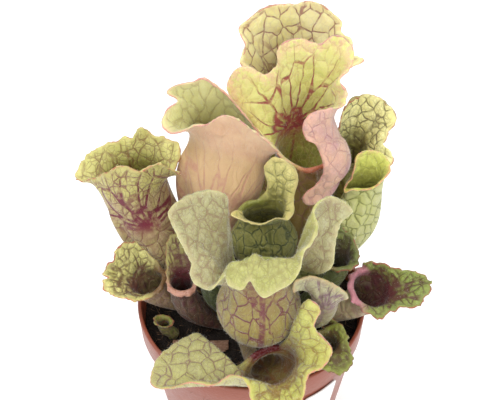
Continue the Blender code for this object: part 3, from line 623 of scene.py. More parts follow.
def add_attribute(mesh: bpy.types.Mesh, name: str, values: np.ndarray, domain: str = "POINT") -> None:
    """Gives a mesh a number for each point, or a vector for each corner of a face.

    Args:
        mesh: The mesh.
        name: The attribute's name.
        values: The numbers, or one row for each vector.
        domain: POINT or CORNER.
    """
    kind, part = ("FLOAT", "value") if values.ndim == 1 else ("FLOAT_VECTOR", "vector")
    made = mesh.attributes.new(name, kind, domain)
    made.data.foreach_set(part, np.ascontiguousarray(values, np.float32).ravel())


def ring_faces(rows: list[np.ndarray], flip: bool = False) -> list[tuple]:
    """Quads between rings of vertex numbers.

    Args:
        rows: The rings, from the foot up.
        flip: True where they face inwards.

    Returns:
        The corners of each face.
    """
    faces = []
    for low, high in zip(rows, rows[1:]):
        low_next, high_next = np.roll(low, -1), np.roll(high, -1)
        corners = (low, high, high_next, low_next) if flip else (low, low_next, high_next, high)
        faces += [tuple(int(c) for c in face) for face in zip(*corners)]
    return faces


def caps(under: np.ndarray, over: np.ndarray, tip: int) -> list[tuple]:
    """Triangles that close two rings of vertex numbers with a vertex in the middle of each.

    Args:
        under: The ring that is closed from below.
        over: The ring that is closed from above.
        tip: The vertex in the middle of the first ring; that of the second follows it.

    Returns:
        The corners of each face.
    """
    faces = []
    for a, a_next, b, b_next in zip(under, np.roll(under, -1), over, np.roll(over, -1)):
        faces += [(int(tip), int(a_next), int(a)), (int(tip) + 1, int(b), int(b_next))]
    return faces


class Scatter:
    """Geometry Nodes that strew one small shape over a surface, as plain mesh."""

    INPUTS = {"Density": 1.0, "Length": 1.0, "Radius": 0.03, "Tilt": 0.5, "Least": 0.5}

    def __init__(self, name: str, sides: int = 0) -> None:
        """Builds the tree.

        Args:
            name: The tree's name.
            sides: The sides of a cone, for hairs and fibres; 0 makes round crumbs.
        """
        self.tree = bpy.data.node_groups.new(name, "GeometryNodeTree")
        self.tree.is_modifier = True
        face = self.tree.interface
        face.new_socket(name="Geometry", in_out="INPUT", socket_type="NodeSocketGeometry")
        for label, value in self.INPUTS.items():
            face.new_socket(name=label, in_out="INPUT", socket_type="NodeSocketFloat").default_value = value
        face.new_socket(name="Seed", in_out="INPUT", socket_type="NodeSocketInt").default_value = 1
        face.new_socket(name="Material", in_out="INPUT", socket_type="NodeSocketMaterial")
        face.new_socket(name="Geometry", in_out="OUTPUT", socket_type="NodeSocketGeometry")
        g = Graph(self.tree)
        take, out = g.node("NodeGroupInput").outputs, g.node("NodeGroupOutput")
        amount = g.node("GeometryNodeInputNamedAttribute", {"Name": "down"}, data_type="FLOAT")
        points = g.node("GeometryNodeDistributePointsOnFaces", {
            "Mesh": take["Geometry"], "Density": g.times(amount.outputs["Attribute"], take["Density"]),
            "Seed": take["Seed"],
        }).outputs
        length, radius = g.times(take["Length"], MM), g.times(take["Radius"], MM)
        if sides:
            inputs = {"Vertices": sides, "Radius Bottom": radius, "Radius Top": 0.0, "Depth": length}
            shape = g.node("GeometryNodeMeshCone", inputs, fill_type="NGON")
        else:
            shape = g.node("GeometryNodeMeshIcoSphere", {"Subdivisions": 1, "Radius": length})
        back = g.times(take["Tilt"], -1.0)
        tilt = g.node("FunctionNodeRandomValue", {
            0: g.join(back, back, -math.pi), 1: g.join(take["Tilt"], take["Tilt"], math.pi),
            "Seed": take["Seed"],
        }, data_type="FLOAT_VECTOR")
        turned = g.node("FunctionNodeRotateRotation", {
            "Rotation": points["Rotation"], "Rotate By": tilt.outputs[0],
        }, rotation_space="LOCAL")
        size = g.node("FunctionNodeRandomValue", {
            2: take["Least"], 3: 1.0, "Seed": g.math("ADD", take["Seed"], 7.0),
        }, data_type="FLOAT")
        placed = g.node("GeometryNodeInstanceOnPoints", {
            "Points": points["Points"], "Instance": shape.outputs["Mesh"], "Rotation": turned.outputs[0],
            "Scale": size.outputs[1],
        })
        real = g.node("GeometryNodeRealizeInstances", {0: placed.outputs[0]})
        inputs = {"Geometry": real.outputs[0], "Material": take["Material"]}
        g.fill(out, {0: g.node("GeometryNodeSetMaterial", inputs).outputs[0]})

    def over(self, name: str, ground: bpy.types.Object, **inputs: Any) -> bpy.types.Object:
        """Strews the shape over an object, inside the solids' box.

        Args:
            name: The new piece's name.
            ground: What it covers, with a `down` attribute.
            **inputs: The tree's named inputs.

        Returns:
            The new object.
        """
        modifier = ground.modifiers.new(name, "NODES")
        modifier.node_group = self.tree
        for socket in self.tree.interface.items_tree:
            if socket.in_out == "INPUT" and socket.name in inputs:
                modifier[socket.identifier] = inputs[socket.name]
        mesh = evaluated_mesh(ground)
        mesh.name = name
        ground.modifiers.remove(modifier)
        points = np.empty(3 * len(mesh.vertices), np.float32)
        mesh.vertices.foreach_get("co", points)
        inside = np.clip(points.reshape(-1, 3), np.array(START_LOW), np.array(START_HIGH))
        mesh.vertices.foreach_set("co", np.ascontiguousarray(inside, np.float32).ravel())
        return linked(name, mesh)


@dataclass
class Edge:
    """One point of a hood's margin: x, y and z from the middle of the mouth, in line with a turn
    round the mouth. The blade leaves the mouth along the tube for `lift` and outward for `flare`, and
    ends by way of `bend`."""

    turn: float
    x: float
    y: float
    z: float
    lift: float
    bend: tuple = ()
    flare: float = 0.0


@dataclass
class Lip:
    """One point of the rolled lip at the front of the mouth."""

    turn: float
    roll: float


def rim(*rows: tuple) -> list[Edge | Lip]:
    """A margin from rows of numbers: two for a point of the lip, five or more for one of the hood."""
    return [Lip(*row) if len(row) == 2 else Edge(*row) for row in rows]


@dataclass
class Pitcher:
    """A hollow leaf: a foot in the peat, a tube with a belly, and a hood with a waved margin.

    Places are from the pot's axis and heights from its rim. Turns round the mouth start at `facing`.
    The main ribs fan out from the hub, and the keel is one thick rib up the tube. `turned` holds the
    stretches of the margin where the real blade is folded back; the mesh is not folded there, only their
    inside is coloured like the outside. `pucker`, `ragged` and `frill` are the sizes of waves.
    """

    name: str
    slot: Slot
    finish: LeafFinish
    base: tuple
    start: tuple
    mouth: tuple
    lean: tuple
    facing: float
    belly: float
    throat: float
    margin: list[Edge | Lip]
    wide: float = 1.0
    rise: float = 16.0
    pull: float = 20.0
    belly_at: float = 0.68
    neck: float = 0.6
    wing: float = 2.6
    wing_turn: float = 0.0
    frill: float = 0.0
    hub_turn: float = 180.0
    hub_up: float = 0.0
    hub_size: float = 6.0
    keel_turn: float = 180.0
    keel_width: float = 0.9
    turned: tuple = ()
    pucker: float = 0.25
    ragged: float = 0.0
    down: float = 0.5
    down_length: float = 0.9
    stalk: float = 1.9
    sunk: float = 3.9
    hollow_from: float = 0.36
    thickness: float = 0.7
    fineness: float = 1.0
    axis: np.ndarray = field(init=False)
    centre: np.ndarray = field(init=False)
    level_front: np.ndarray = field(init=False)
    front: np.ndarray = field(init=False)
    side: np.ndarray = field(init=False)

    def __post_init__(self) -> None:
        """Works out the mouth's directions."""
        self.axis = unit(np.array([*self.lean, 1.0]))
        self.centre = np.array([self.mouth[0], self.mouth[1], self.mouth[2] + POT_HEIGHT])
        self.level_front = np.array([cosine(self.facing), sine(self.facing), 0.0])
        self.front = unit(self.level_front - self.axis * (self.axis @ self.level_front))
        self.side = np.cross(self.axis, self.front)

    def stations(self) -> np.ndarray:
        """Lines up the margin's points.

        Returns:
            Rows by turn: turn, place, way out of the mouth, way in to the margin, and 1 for a lip.
        """
        rows = []
        for point in self.margin:
            turn = point.turn % 360
            around = cosine(turn) * self.front + self.wide * sine(turn) * self.side
            if isinstance(point, Lip):
                place = self.throat * around + unit(around) * point.roll
                roll = self.axis * point.roll
                rows.append((turn, *(self.centre + place), *roll, *roll, 1.0))
            else:
                place = np.array([point.x, point.y, point.z])
                leave = self.axis * point.lift + unit(around) * point.flare
                bend = point.bend or (0.0, 0.0, min(3.0, 0.3 * point.lift))
                rows.append((turn, *(self.centre + place), *leave, *bend, 0.0))
        rows = np.array(sorted(rows))
        return self.with_frill(rows) if self.frill else rows

    def with_frill(self, rows: np.ndarray) -> np.ndarray:
        """Adds a point half way between each two of a hood's points, pushed out by the frill.

        Args:
            rows: The stations.

        Returns:
            The stations with the points between them.
        """
        full = []
        for row, after in zip(rows, np.roll(rows, -1, axis=0)):
            full.append(row)
            half_way = (row + after) / 2
            half_way[0] = (row[0] + (after[0] - row[0]) % 360 / 2) % 360
            reach = min(np.linalg.norm(row[1:4] - self.centre), np.linalg.norm(after[1:4] - self.centre))
            if reach > 9.0:
                half_way[1:4] += unit(half_way[1:4] - self.centre) * self.frill
                full.append(half_way)
        full = np.array(full)
        return full[np.argsort(full[:, 0])]

    def columns(self, rows: np.ndarray) -> np.ndarray:
        """Spreads the columns, closer together where the margin is long.

        Args:
            rows: The stations.

        Returns:
            The columns' turns.
        """
        dense = np.linspace(0, 360, 2400, endpoint=False)
        rim = closed_curve(rows[:, 0], rows[:, 1:4], dense)
        lengths = np.linalg.norm(np.roll(rim, -1, axis=0) - rim, axis=1)
        spacing, least, most = 0.95, 90, 330
        count = int(self.fineness * np.clip(lengths.sum() / spacing, least, most))
        share = 0.6 * lengths / lengths.sum() + 0.4 / len(dense)
        grown = np.concatenate([[0.0], np.cumsum(share)])
        return np.interp(np.arange(count) / count, grown, np.concatenate([dense, [360.0]]))

    def tube(self, turns: np.ndarray, steps: np.ndarray) -> np.ndarray:
        """The tube's middle surface.

        Args:
            turns: The columns' turns.
            steps: How far each ring is from the foot to the mouth, 0 to 1.

        Returns:
            The rings.
        """
        foot = np.array([self.base[0], self.base[1], PEAT_TOP + 1.0])
        heading = unit(np.array([*self.start, 1.0]))
        a, b, c, d = foot, foot + heading * self.rise, self.centre - self.axis * self.pull, self.centre
        t = steps[:, None]
        places = cubic(a, b, c, d, t)
        along = unit(3 * (1 - t) ** 2 * (b - a) + 6 * t * (1 - t) * (c - b) + 3 * t * t * (d - c))
        fronts = unit(self.level_front - along * (along @ self.level_front)[:, None])
        sides = np.cross(along, fronts)
        keys = (0.0, 0.12, self.belly_at * 0.55, self.belly_at, 1.0)
        neck = 0.35 * self.stalk + self.neck * self.belly
        radii = smooth_profile(keys, (self.stalk, self.stalk * 1.2, neck, self.belly, self.throat), steps)
        widths = radii * (1 + (self.wide - 1) * steps)
        rad = np.radians(turns)
        across = (radii[:, None] * np.cos(rad))[..., None] * fronts[:, None]
        return places[:, None] + across + (widths[:, None] * np.sin(rad))[..., None] * sides[:, None]

    @staticmethod
    def normals(grid: np.ndarray) -> np.ndarray:
        """Outward directions, evened out along the rings.

        Args:
            grid: The rings.

        Returns:
            A direction for each of their points.
        """
        low, high = grid[:-1], grid[1:]
        low_next, high_next = np.roll(low, -1, axis=1), np.roll(high, -1, axis=1)
        first = np.cross(low_next - low, high_next - low)
        second = np.cross(high_next - low, high - low)
        total = np.zeros_like(grid)
        total[:-1] += first + second + np.roll(first, 1, axis=1)
        total[1:] += second + np.roll(first + second, 1, axis=1)
        normals = unit(total)
        for _ in range(4):
            normals = unit(np.roll(normals, 1, axis=1) + 2 * normals + np.roll(normals, -1, axis=1))
        return normals

    def relief(self, middle: np.ndarray, normals: np.ndarray, hood: np.ndarray) -> np.ndarray:
        """Adds shallow puckers of the blade, and a ragged margin.

        Args:
            middle: Rings of the middle surface.
            normals: Their outward directions.
            hood: How far each ring is up the hood, 0 to 1.

        Returns:
            The rings, moved.
        """
        depth = self.pucker * (lumps(middle, 5.0, self.facing) + 0.5 * lumps(middle, 2.2, 3.0))
        middle = middle + normals * (depth * np.clip(hood[:, None] * 4, 0.15, 1))[..., None]
        ruffle = (0.6 + 0.5 * self.ragged) * lumps(middle[-1], 1.9, 5.0)
        middle = middle + normals * (np.clip(hood, 0, 1)[:, None] ** 5 * ruffle)[..., None]
        if self.ragged:
            away = unit(middle[-1] - self.centre)
            teeth = lumps(middle[-1], 1.3, 9.0) * self.ragged
            middle = middle + (np.clip(hood, 0, 1)[:, None] ** 6 * teeth)[..., None] * away
        return middle

    def build(self) -> bpy.types.Object:
        """Makes the pitcher's piece.

        Returns:
            The object, with its attributes.
        """
        rows = self.stations()
        turns = self.columns(rows)
        margin = closed_curve(rows[:, 0], rows[:, 1:], turns)
        coarse = int(self.fineness * (42))
        tube_steps = np.linspace(0, 1, coarse)
        hood_steps = tube_steps[1:]
        rings = self.tube(turns, tube_steps)
        ring, ends = rings[-1], margin[:, 0:3]
        blade = cubic(ring, ring + margin[:, 3:6], ends + margin[:, 6:9], ends, hood_steps[:, None, None])
        middle = np.concatenate([rings, blade])
        hood = np.concatenate([np.zeros(coarse), hood_steps])
        middle = self.relief(middle, self.normals(middle), hood)
        normals = self.normals(middle)
        spans = np.linalg.norm(np.diff(middle, axis=0), axis=2)
        along = np.concatenate([np.zeros((1, len(turns))), np.cumsum(spans, axis=0)])
        up, edge = along - along[coarse - 1], along[-1] - along
        half = 0.5 * self.thickness * np.clip(0.35 + edge / 1.2, 0.35, 1)
        outer, inner = middle + normals * half[..., None], middle - normals * half[..., None]
        off = (turns - self.wing_turn + 180) % 360 - 180
        narrow = np.clip(1 - np.abs(off) / 12.0, 0, 1)
        tall = smooth_profile((0.0, 0.12, 0.5, 0.9, 1.0), (0.0, 0.3, 1.0, 0.6, 0.0), tube_steps)
        outer[:coarse] += normals[:coarse] * (self.wing * tall[:, None] * narrow)[..., None]
        lip = np.clip(margin[:, 9], 0, 1) * np.clip(1.4 + up, 0, 1)
        return self.shell(turns, outer, inner, hood[:, None], up, edge, lip)

    def shell(self, turns: np.ndarray, outer: np.ndarray, inner: np.ndarray, hood: np.ndarray, up: np.ndarray,
              edge: np.ndarray, lip: np.ndarray) -> bpy.types.Object:
        """Closes the two faces into one mesh and gives it its attributes.

        Args:
            turns: The columns' turns.
            outer: Rings of the outside.
            inner: Rings of the inside.
            hood: How far each row is up the hood, 0 to 1.
            up: How far each point is above the mouth, along its column.
            edge: How far each point is below the margin.
            lip: 1 for points of the lip.

        Returns:
            The object.
        """
        count, first = len(turns), int(self.hollow_from * (len(outer) + 1) / 2)
        stalk = np.stack([self.foot(turns, PEAT_TOP - self.sunk), self.foot(turns, PEAT_TOP)])
        outside, inside = np.concatenate([stalk, outer[1:]]), inner[first:]
        rows = np.arange((len(outside) + len(inside)) * count).reshape(-1, count)
        rows, into = rows[:len(outside)], rows[len(outside):]
        low_tip = into[-1, -1] + 1
        ends = np.stack([outside[0].mean(axis=0), inside[0].mean(axis=0)])
        places = np.concatenate([outside.reshape(-1, 3), inside.reshape(-1, 3), ends])
        faces = ring_faces(list(rows)) + ring_faces(list(into), flip=True) + ring_faces([rows[-1], into[-1]])
        faces += caps(rows[0], into[0], low_tip)
        material = self.finish.material(self.name.removeprefix("pitcher_"))
        thing = mesh_object(self.name + "_leaf", places, faces, material)
        hub_column, keel_column = self.column_at(turns, self.hub_turn), self.column_at(turns, self.keel_turn)
        seam = self.column_at(turns, self.hub_turn + 180)
        around = np.linalg.norm(np.roll(outer, -1, axis=1) - outer, axis=2)
        whole = around.sum(axis=1, keepdims=True)
        around = np.roll(np.cumsum(np.roll(around, -seam, axis=1), axis=1), seam + 1, axis=1)
        around[:, seam] = 0.0
        keel = np.abs(around - around[:, [keel_column]]) / self.keel_width + np.clip(up - 6, 0, None) / 6
        at_hub = outer[int(np.argmin(np.abs(up[:, hub_column] - self.hub_up))), hub_column]
        hub = np.exp(-((np.linalg.norm(0.5 * (outer + inner) - at_hub, axis=2) / self.hub_size) ** 2))
        grown = np.clip(hood * 3.0, 0, 1) * np.ones(count)

        def laid(values: np.ndarray, cap: float = 0.0) -> np.ndarray:
            """Values of the rows, in the order of the mesh's vertices."""
            values = np.broadcast_to(values, up.shape)
            return np.concatenate([values[:1].ravel(), values.ravel(), values[first:].ravel(), [cap, cap]])

        flags = np.zeros(len(places))
        flags[rows[-1, -1] + 1:] = 1.0
        inner_down, outer_down = self.down * (0.25 + 0.75 * grown), self.down * (0.35 + 0.25 * grown)
        down = np.where(flags > 0, laid(inner_down), laid(outer_down))
        down[:2 * count] = 0.0
        mesh = thing.data
        for label, values in {
            "hood": laid(hood), "edge": laid(edge, 50.0), "keel": laid(keel, 50.0), "hub": laid(hub),
            "lip": laid(lip), "down": down,
            "inside": flags * (1 - laid(self.turned_share(turns) * np.clip(hood * 6, 0, 1))),
        }.items():
            add_attribute(mesh, label, values)
        # The map of the ribs breaks cleanly at the seam, so it belongs to the faces' corners
        corners, sizes = np.empty(len(mesh.loops), np.int32), np.empty(len(mesh.polygons), np.int32)
        mesh.loops.foreach_get("vertex_index", corners)
        mesh.polygons.foreach_get("loop_total", sizes)
        owner = np.repeat(np.arange(len(sizes)), sizes)
        column = np.where(corners >= low_tip, -2, corners % count)
        last = np.zeros(len(sizes), bool)
        last[owner[column == (seam - 1) % count]] = True
        across = np.where(last[owner] & (column == seam), laid(whole)[corners], laid(around)[corners])
        across = across - laid(around[:, [hub_column]])[corners]
        rise = laid(up, -40.0)[corners] - self.hub_up
        add_attribute(mesh, "reach", np.stack([across, rise, np.zeros_like(rise)], axis=-1), "CORNER")
        return thing

    def turned_share(self, turns: np.ndarray) -> np.ndarray:
        """Picks the columns of the listed `turned` stretches, where the real blade folds so far that its back
        faces up; the mesh is not folded there, only its inside takes the outside's colours.

        Args:
            turns: The columns' turns.

        Returns:
            1 for such columns, 0 for the others.
        """
        share = np.zeros(len(turns))
        for start, end in self.turned:
            share = np.maximum(share, np.clip(np.minimum(turns - start, end - turns) / 6 + 0.5, 0, 1))
        return share

    @staticmethod
    def column_at(turns: np.ndarray, turn: float) -> int:
        """The column that is nearest to a turn."""
        return int(np.argmin(np.abs((turns - turn + 180) % 360 - 180)))

    def foot(self, turns: np.ndarray, height: float) -> np.ndarray:
        """A level ring of the stalk where it stands in the peat.

        Args:
            turns: The columns' turns.
            height: Its height over the pot's foot.

        Returns:
            The ring.
        """
        rad = np.radians(turns)[:, None]
        around = np.cos(rad) * self.front + np.sin(rad) * self.side
        around[:, 2] = 0
        return np.array([self.base[0], self.base[1], height]) + self.stalk * unit(around)


@dataclass
class Plant:
    """All the pitchers and seedlings, and their down."""

    hairs: Scatter
    down: bpy.types.Material
    density: float = 1.5e6

    def build(self) -> None:
        """Builds every pitcher and strews its down."""
        for i, leaf in enumerate(pitchers()):
            thing = leaf.build()
            if leaf.down:
                coat = self.hairs.over(
                    leaf.name + "_down", thing, Material=self.down, Density=self.density,
                    Length=leaf.down_length, Radius=0.035, Tilt=0.7, Least=0.4, Seed=11 + i,
                )
                piece(coat, leaf.slot)
            piece(thing, leaf.slot, leaf.name)


def pitchers() -> Iterator[Pitcher]:
    """Every pitcher and seedling, in the order of the solids.

    Returns:
        The pitchers, one after another.
    """
    # The throat colours are partly painted shade of the hollow, darkest in the small pitchers' mouths
    yield Pitcher(
        "pitcher_front_high", Slot.GREEN, base=(0, -5), start=(0, -0.15), mouth=(3, -24, 37), lean=(0, 0.22),
        facing=90, belly=15.3, throat=12, rise=20, pull=25, belly_at=0.78, neck=0.42, wing=0, down=1,
        hub_turn=187, hub_up=4, down_length=1.0, keel_turn=184, keel_width=1.7,
        turned=((56, 156), (278, 304)),
        finish=LeafFinish(
            hood=0xC0C076, hood_deep=0xACAE5E, belly=0x9C8C4A, back=0xC0BE92, back_deep=0xA0986A,
            vein=0x705832, vein_back=0x6E2A3A, margin=0xCECC8C, blush=0xD4C496, hub=0x78283C, lip=0xB2B860,
            throat=0x969E46, net=0.3, net_back=0.42, net_belly=2.2, rib=0.5, rib_back=0.7, cell=4.4,
            stretch=1.8, rib_turn=17, rib_length=34, rib_width=0.6, hub_strength=0.25, keel=0.9, sheen=0.3,
        ),
        margin=rim(
            (0, 1.8), (22, 1.8), (44, 1.8), (316, 1.8), (338, 1.8), (62, -11, 9.5, 17, 12),
            (74, -12, 8.5, 28, 14), (86, -12, 7, 36.5, 16), (96, -18.5, 6, 40, 16), (105, -26, 4, 38.5, 16),
            (114, -31.5, 1, 34, 14), (121, -29.5, -2, 29, 12), (128, -26.5, -5, 23, 11),
            (134, -24, -7, 17.5, 10), (140, -24.5, -9, 13, 9), (147, -21, -11, 9, 9),
            (154, -16.5, -13, 11, 12), (161, -12, -13, 17.5, 15, (0, 5, 7)),
            (167, -11, -17, 17.5, 20, (0, 8, 9)), (174, -6.5, -19, 17, 24, (0, 9, 10)),
            (181, -3.5, -17, 19.5, 25, (0, 9, 10)), (187, -1.5, -20, 17.5, 25, (0, 10, 11)),
            (193, 1, -22, 16.5, 25, (0, 10, 11)), (201, 6, -20, 18, 25, (0, 9, 10)),
            (209, 10.5, -18, 19.5, 23, (0, 8, 8)), (217, 13.5, -15, 23, 20, (0, 4, 5)),
            (225, 14.5, -12, 28, 17), (233, 17.5, -8, 29, 15), (241, 19.5, -3, 31.5, 15),
            (248, 18.5, 2, 35, 15), (256, 24, 6, 37, 15), (265, 32, 6, 30.5, 14), (273, 28, 4, 25.5, 12),
            (281, 26.5, 2, 17, 10), (290, 26, 1, 8, 8), (301, 21.5, 1, 3, 6),
        ),
    )
    yield Pitcher(
        "pitcher_front_low", Slot.GREEN, base=(-3.5, -11.5), start=(0, -0.8), mouth=(7, -42.5, 9.5),
        lean=(-0.07, -0.3), facing=117, belly=5, throat=6.8, wide=1.5, rise=11.5, pull=10, belly_at=0.74,
        wing=1.2, down=1, down_length=1.0, turned=((60, 150),),
        finish=LeafFinish(
            hood=0xCECE74, hood_deep=0xBCBE58, throat=0x603C28, belly=0x96805A, back=0xC0BE7A,
            back_deep=0xAEAA72, vein=0x804A24, vein_back=0x70384E, margin=0xD67878, blush=0xCDBE6E,
            hub=0x823C28, lip=0x60040E, net=0.6, net_back=0.65, rib=0.7, rib_back=0.8, fine=0.25, cell=4.6,
            rib_turn=20, rib_length=40, rib_width=0.7, hub_strength=0.3, sheen=0.3,
        ),
        margin=rim(
            (0, 1.8), (19, 1.8), (340, 1.8), (322, 1.8), (38, -13, 3, -3.5, 2), (49, -18.5, 2, -6, 2),
            (59, -24, 4, -6, 4), (69, -27, 9, -3, 7), (79, -27, 15, 1, 9), (90, -35, 12, 0, 9),
            (99, -42, 5, -1, 8), (108, -44, -5, -2, 7), (118, -38, -9, 0, 6), (128, -29, -10, 5, 6),
            (138, -21, -12, 6, 6), (147, -15, -12, 12, 8, (0, -2, 1)), (155, -10, -13, 12, 8, (0, -2, 1)),
            (163, -8, -16, 9, 7), (172, -6, -22, 4, 6), (184, 0, -24, 1, 5), (198, 7, -22, 1, 5),
            (211, 11, -17, 4, 5), (223, 13, -10, 9, 6), (236, 19, -6, 9, 6), (247, 22, 0, 11, 7),
            (257, 19, 1, 16, 8), (265, 15, 1, 23, 12), (273, 17, 2, 31, 14), (282, 13, 4, 34, 16),
            (294, 10, 6, 24, 14), (308, 9, 7, 12, 9),
        ),
    )
    yield Pitcher(
        "pitcher_middle", Slot.GREEN, base=(5.5, -1), start=(0, 0), mouth=(4.5, 4.5, 43), lean=(0, 0),
        facing=-90, belly=9.4, throat=5.6, wide=1.45, rise=20, pull=18, belly_at=0.74, wing=0.8, down=0.3,
        down_length=0.6, keel_turn=12,
        finish=LeafFinish(
            hood=0xECE296, hood_deep=0xD0CA74, throat=0x969248, belly=0x7A7A3A, vein=0x545424,
            vein_back=0x303E1A, back=0xAAB460, margin=0xD6C88C, hub=0x5A4628, lip=0x8C8E46, net=0.6,
            net_back=0.85, rib=0.6, rib_back=0.5, cell=4.2, keel=0.6, hub_strength=0.2, blush_strength=0.2,
        ),
        margin=rim(
            (190, 1.4), (215, 1.4), (240, 1.4), (265, 1.4), (0, -2, -9, 3, 1.5, (0, 1, -0.5), 2),
            (24, 2, -9, 5, 2, (0, 1, -1), 2), (44, 5.5, -8, 5.5, 2, (0, 1, -1), 2),
            (60, 9, -6, 2.5, 1.5, (-0.5, 1, -0.5), 1), (72, 11, -3, 3.5, 5), (82, 11, 0, 7.5, 7),
            (91, 11.5, 1, 11, 8), (100, 12.5, 2, 14.5, 9), (110, 11.5, 3, 19.5, 9), (121, 7.5, 5, 22, 9),
            (132, 3.5, 7, 21.5, 9), (145, 0.5, 8, 16, 8), (162, 1.5, 8, 7, 5),
            (284, -8.5, -1.5, 1.5, 1.5, (0.5, 0, -0.5)), (302, -10.5, -3, 4.5, 2, (1, 0.5, -1), 2),
            (318, -12, -6, 5.5, 2, (1.5, 1, -1), 3), (338, -7, -8.5, 4.5, 2, (0.5, 1, -1), 2),
        ),
    )
    yield Pitcher(
        "pitcher_back_left", Slot.BLUSH, base=(-12, 12), start=(-0.1, 0.2), mouth=(-8.5, 25, 57),
        lean=(0.22, 0), facing=-104, belly=9.5, throat=8.5, wide=1.8, rise=22, pull=26, belly_at=0.78,
        wing=3.2, wing_turn=-74, down=0.8, down_length=0.8, hub_turn=0, hub_up=-40,
        finish=LeafFinish(
            hood=0xE2DEA0, hood_deep=0xD0CE88, throat=0xC4BC78, belly=0xDEBA8C, back=0xE8C4A0,
            back_deep=0xDAB08E, vein=0x967850, vein_back=0xC8847C, margin=0xDE8C8C, blush=0xE4BEA0,
            hub=0xB45A5A, net=0.35, net_back=0.15, rib=0.4, rib_back=0.55, fine=0.08, mesh=0.1, halo=0.12,
            cell=5.2, stretch=3.2, rib_turn=8, rib_length=60, rib_width=0.5, hub_strength=0.1, sheen=0.35,
            margin_width=0.8,
        ),
        margin=rim(
            (0, -6, -9, 21, 9), (12, -2, -9, 24, 9), (24, 3, -10, 23.5, 9), (38, 8.5, -11, 19, 8),
            (52, 13.5, -12, 15, 7), (68, 18, -12, 9, 5), (84, 16, -4, 5, 3, (-1, 0, -1)),
            (108, 12, 0, 6.5, 3, (0, 0, -2)), (132, 9.5, 2, 9, 4, (0, 0, -1)), (150, 5.5, 3.5, 13.5, 6),
            (163, 1.5, 5.5, 18, 8), (174, -2, 6.5, 22, 9), (184, -5.5, 7, 25, 10), (194, -9.5, 7, 28, 11),
            (204, -13.5, 6, 27, 11), (214, -19, 5.5, 26, 11), (225, -22.5, 4.5, 23.5, 10),
            (236, -18.5, 4, 20, 9), (248, -23, 2, 17, 8), (260, -24.5, -1, 13, 7), (275, -21.5, -5, 12, 6),
            (292, -16.5, -8, 15.5, 7), (316, -12.5, -9, 19, 8), (340, -8.5, -9, 19.5, 8),
        ),
    )
    yield Pitcher(
        "pitcher_back_right", Slot.GREEN, base=(8, 12.5), start=(0.1, 0.2), mouth=(20, 27, 54), lean=(0, 0),
        facing=-70, belly=11.6, throat=10.6, rise=20, pull=24, down=0.8, hub_turn=186, hub_up=3, hub_size=7,
        down_length=0.8, turned=((48, 106),),
        finish=LeafFinish(
            hood=0xE8E494, hood_deep=0xD6D674, throat=0xB2B254, belly=0x8C7438, back=0xD6A892,
            back_deep=0xB88E90, vein=0xA24848, vein_back=0x8C4664, margin=0xE28C82, blush=0xECBCA2,
            hub=0x9C243C, lip=0xC4785A, net=0.22, net_back=0.4, rib=0.95, rib_back=0.8, fine=0.1, mesh=0.3,
            halo=0.15, cell=4.6, stretch=1.5, rib_turn=16, rib_length=44, rib_width=0.5, hub_strength=0.9,
            blush_width=10, blush_strength=0.7, margin_width=0.5, sheen=0.3,
        ),
        margin=rim(
            (0, 1.6), (17, 1.6), (340, 1.6), (30, 8.5, -11.5, 1, 3.5, (0, 0.5, 3), 1.5),
            (37, 9.5, -12, -2.5, 3, (0.5, -0.5, 3), 2.5), (45, 9, -13, -6.5, 4, (2, -1, 4), 3),
            (51, 5.5, -17, -9, 4.5, (7, -1, 3), 5), (56, 1, -21.5, -7.5, 4, (14.5, 0.5, 1), 6.5),
            (62, -1, -21, -3.5, 5, (17, 0, 0), 6), (67, 4, -21, 3, 6, (18, 1, -2), 5),
            (73, 6, -21, 10.5, 7, (18, 2, -3), 3), (79, 3.5, -20, 20, 9, (20, 2, -4)),
            (87, -0.5, -19, 23, 10, (21, 2, -4)), (95, -2, -18, 28, 11, (20, 2, -4)),
            (103, 0.5, -16, 32.5, 12, (14, 2, -4)), (111, 7, -12, 31.5, 12, (7, 2, -2)),
            (120, 13, -7, 28, 12), (129, 14.5, -1, 29.5, 12), (138, 12, 3, 32, 12), (146, 16, 6, 35.5, 12),
            (154, 17, 9, 40.5, 13), (162, 13.5, 11, 45, 13), (170, 9.5, 12, 45.5, 13),
            (178, 5.5, 12, 41.5, 13), (185, 2.5, 12, 42, 13), (192, -2.5, 12, 44, 13),
            (200, -8.5, 12, 42, 12), (207, -10.5, 12, 38, 11), (213, -10.5, 11, 32, 11),
            (219, -15.5, 11, 28, 11), (225, -20, 11, 31, 11), (233, -25, 11.5, 30.5, 11),
            (243, -29, 11.5, 24, 10), (254, -28, 10.5, 16.5, 7), (266, -24.5, 9, 10.5, 5),
            (280, -19, 4, 8.5, 4), (302, -13, -5, 7.5, 3), (322, -7.5, -10.5, 4, 3),
        ),
    )
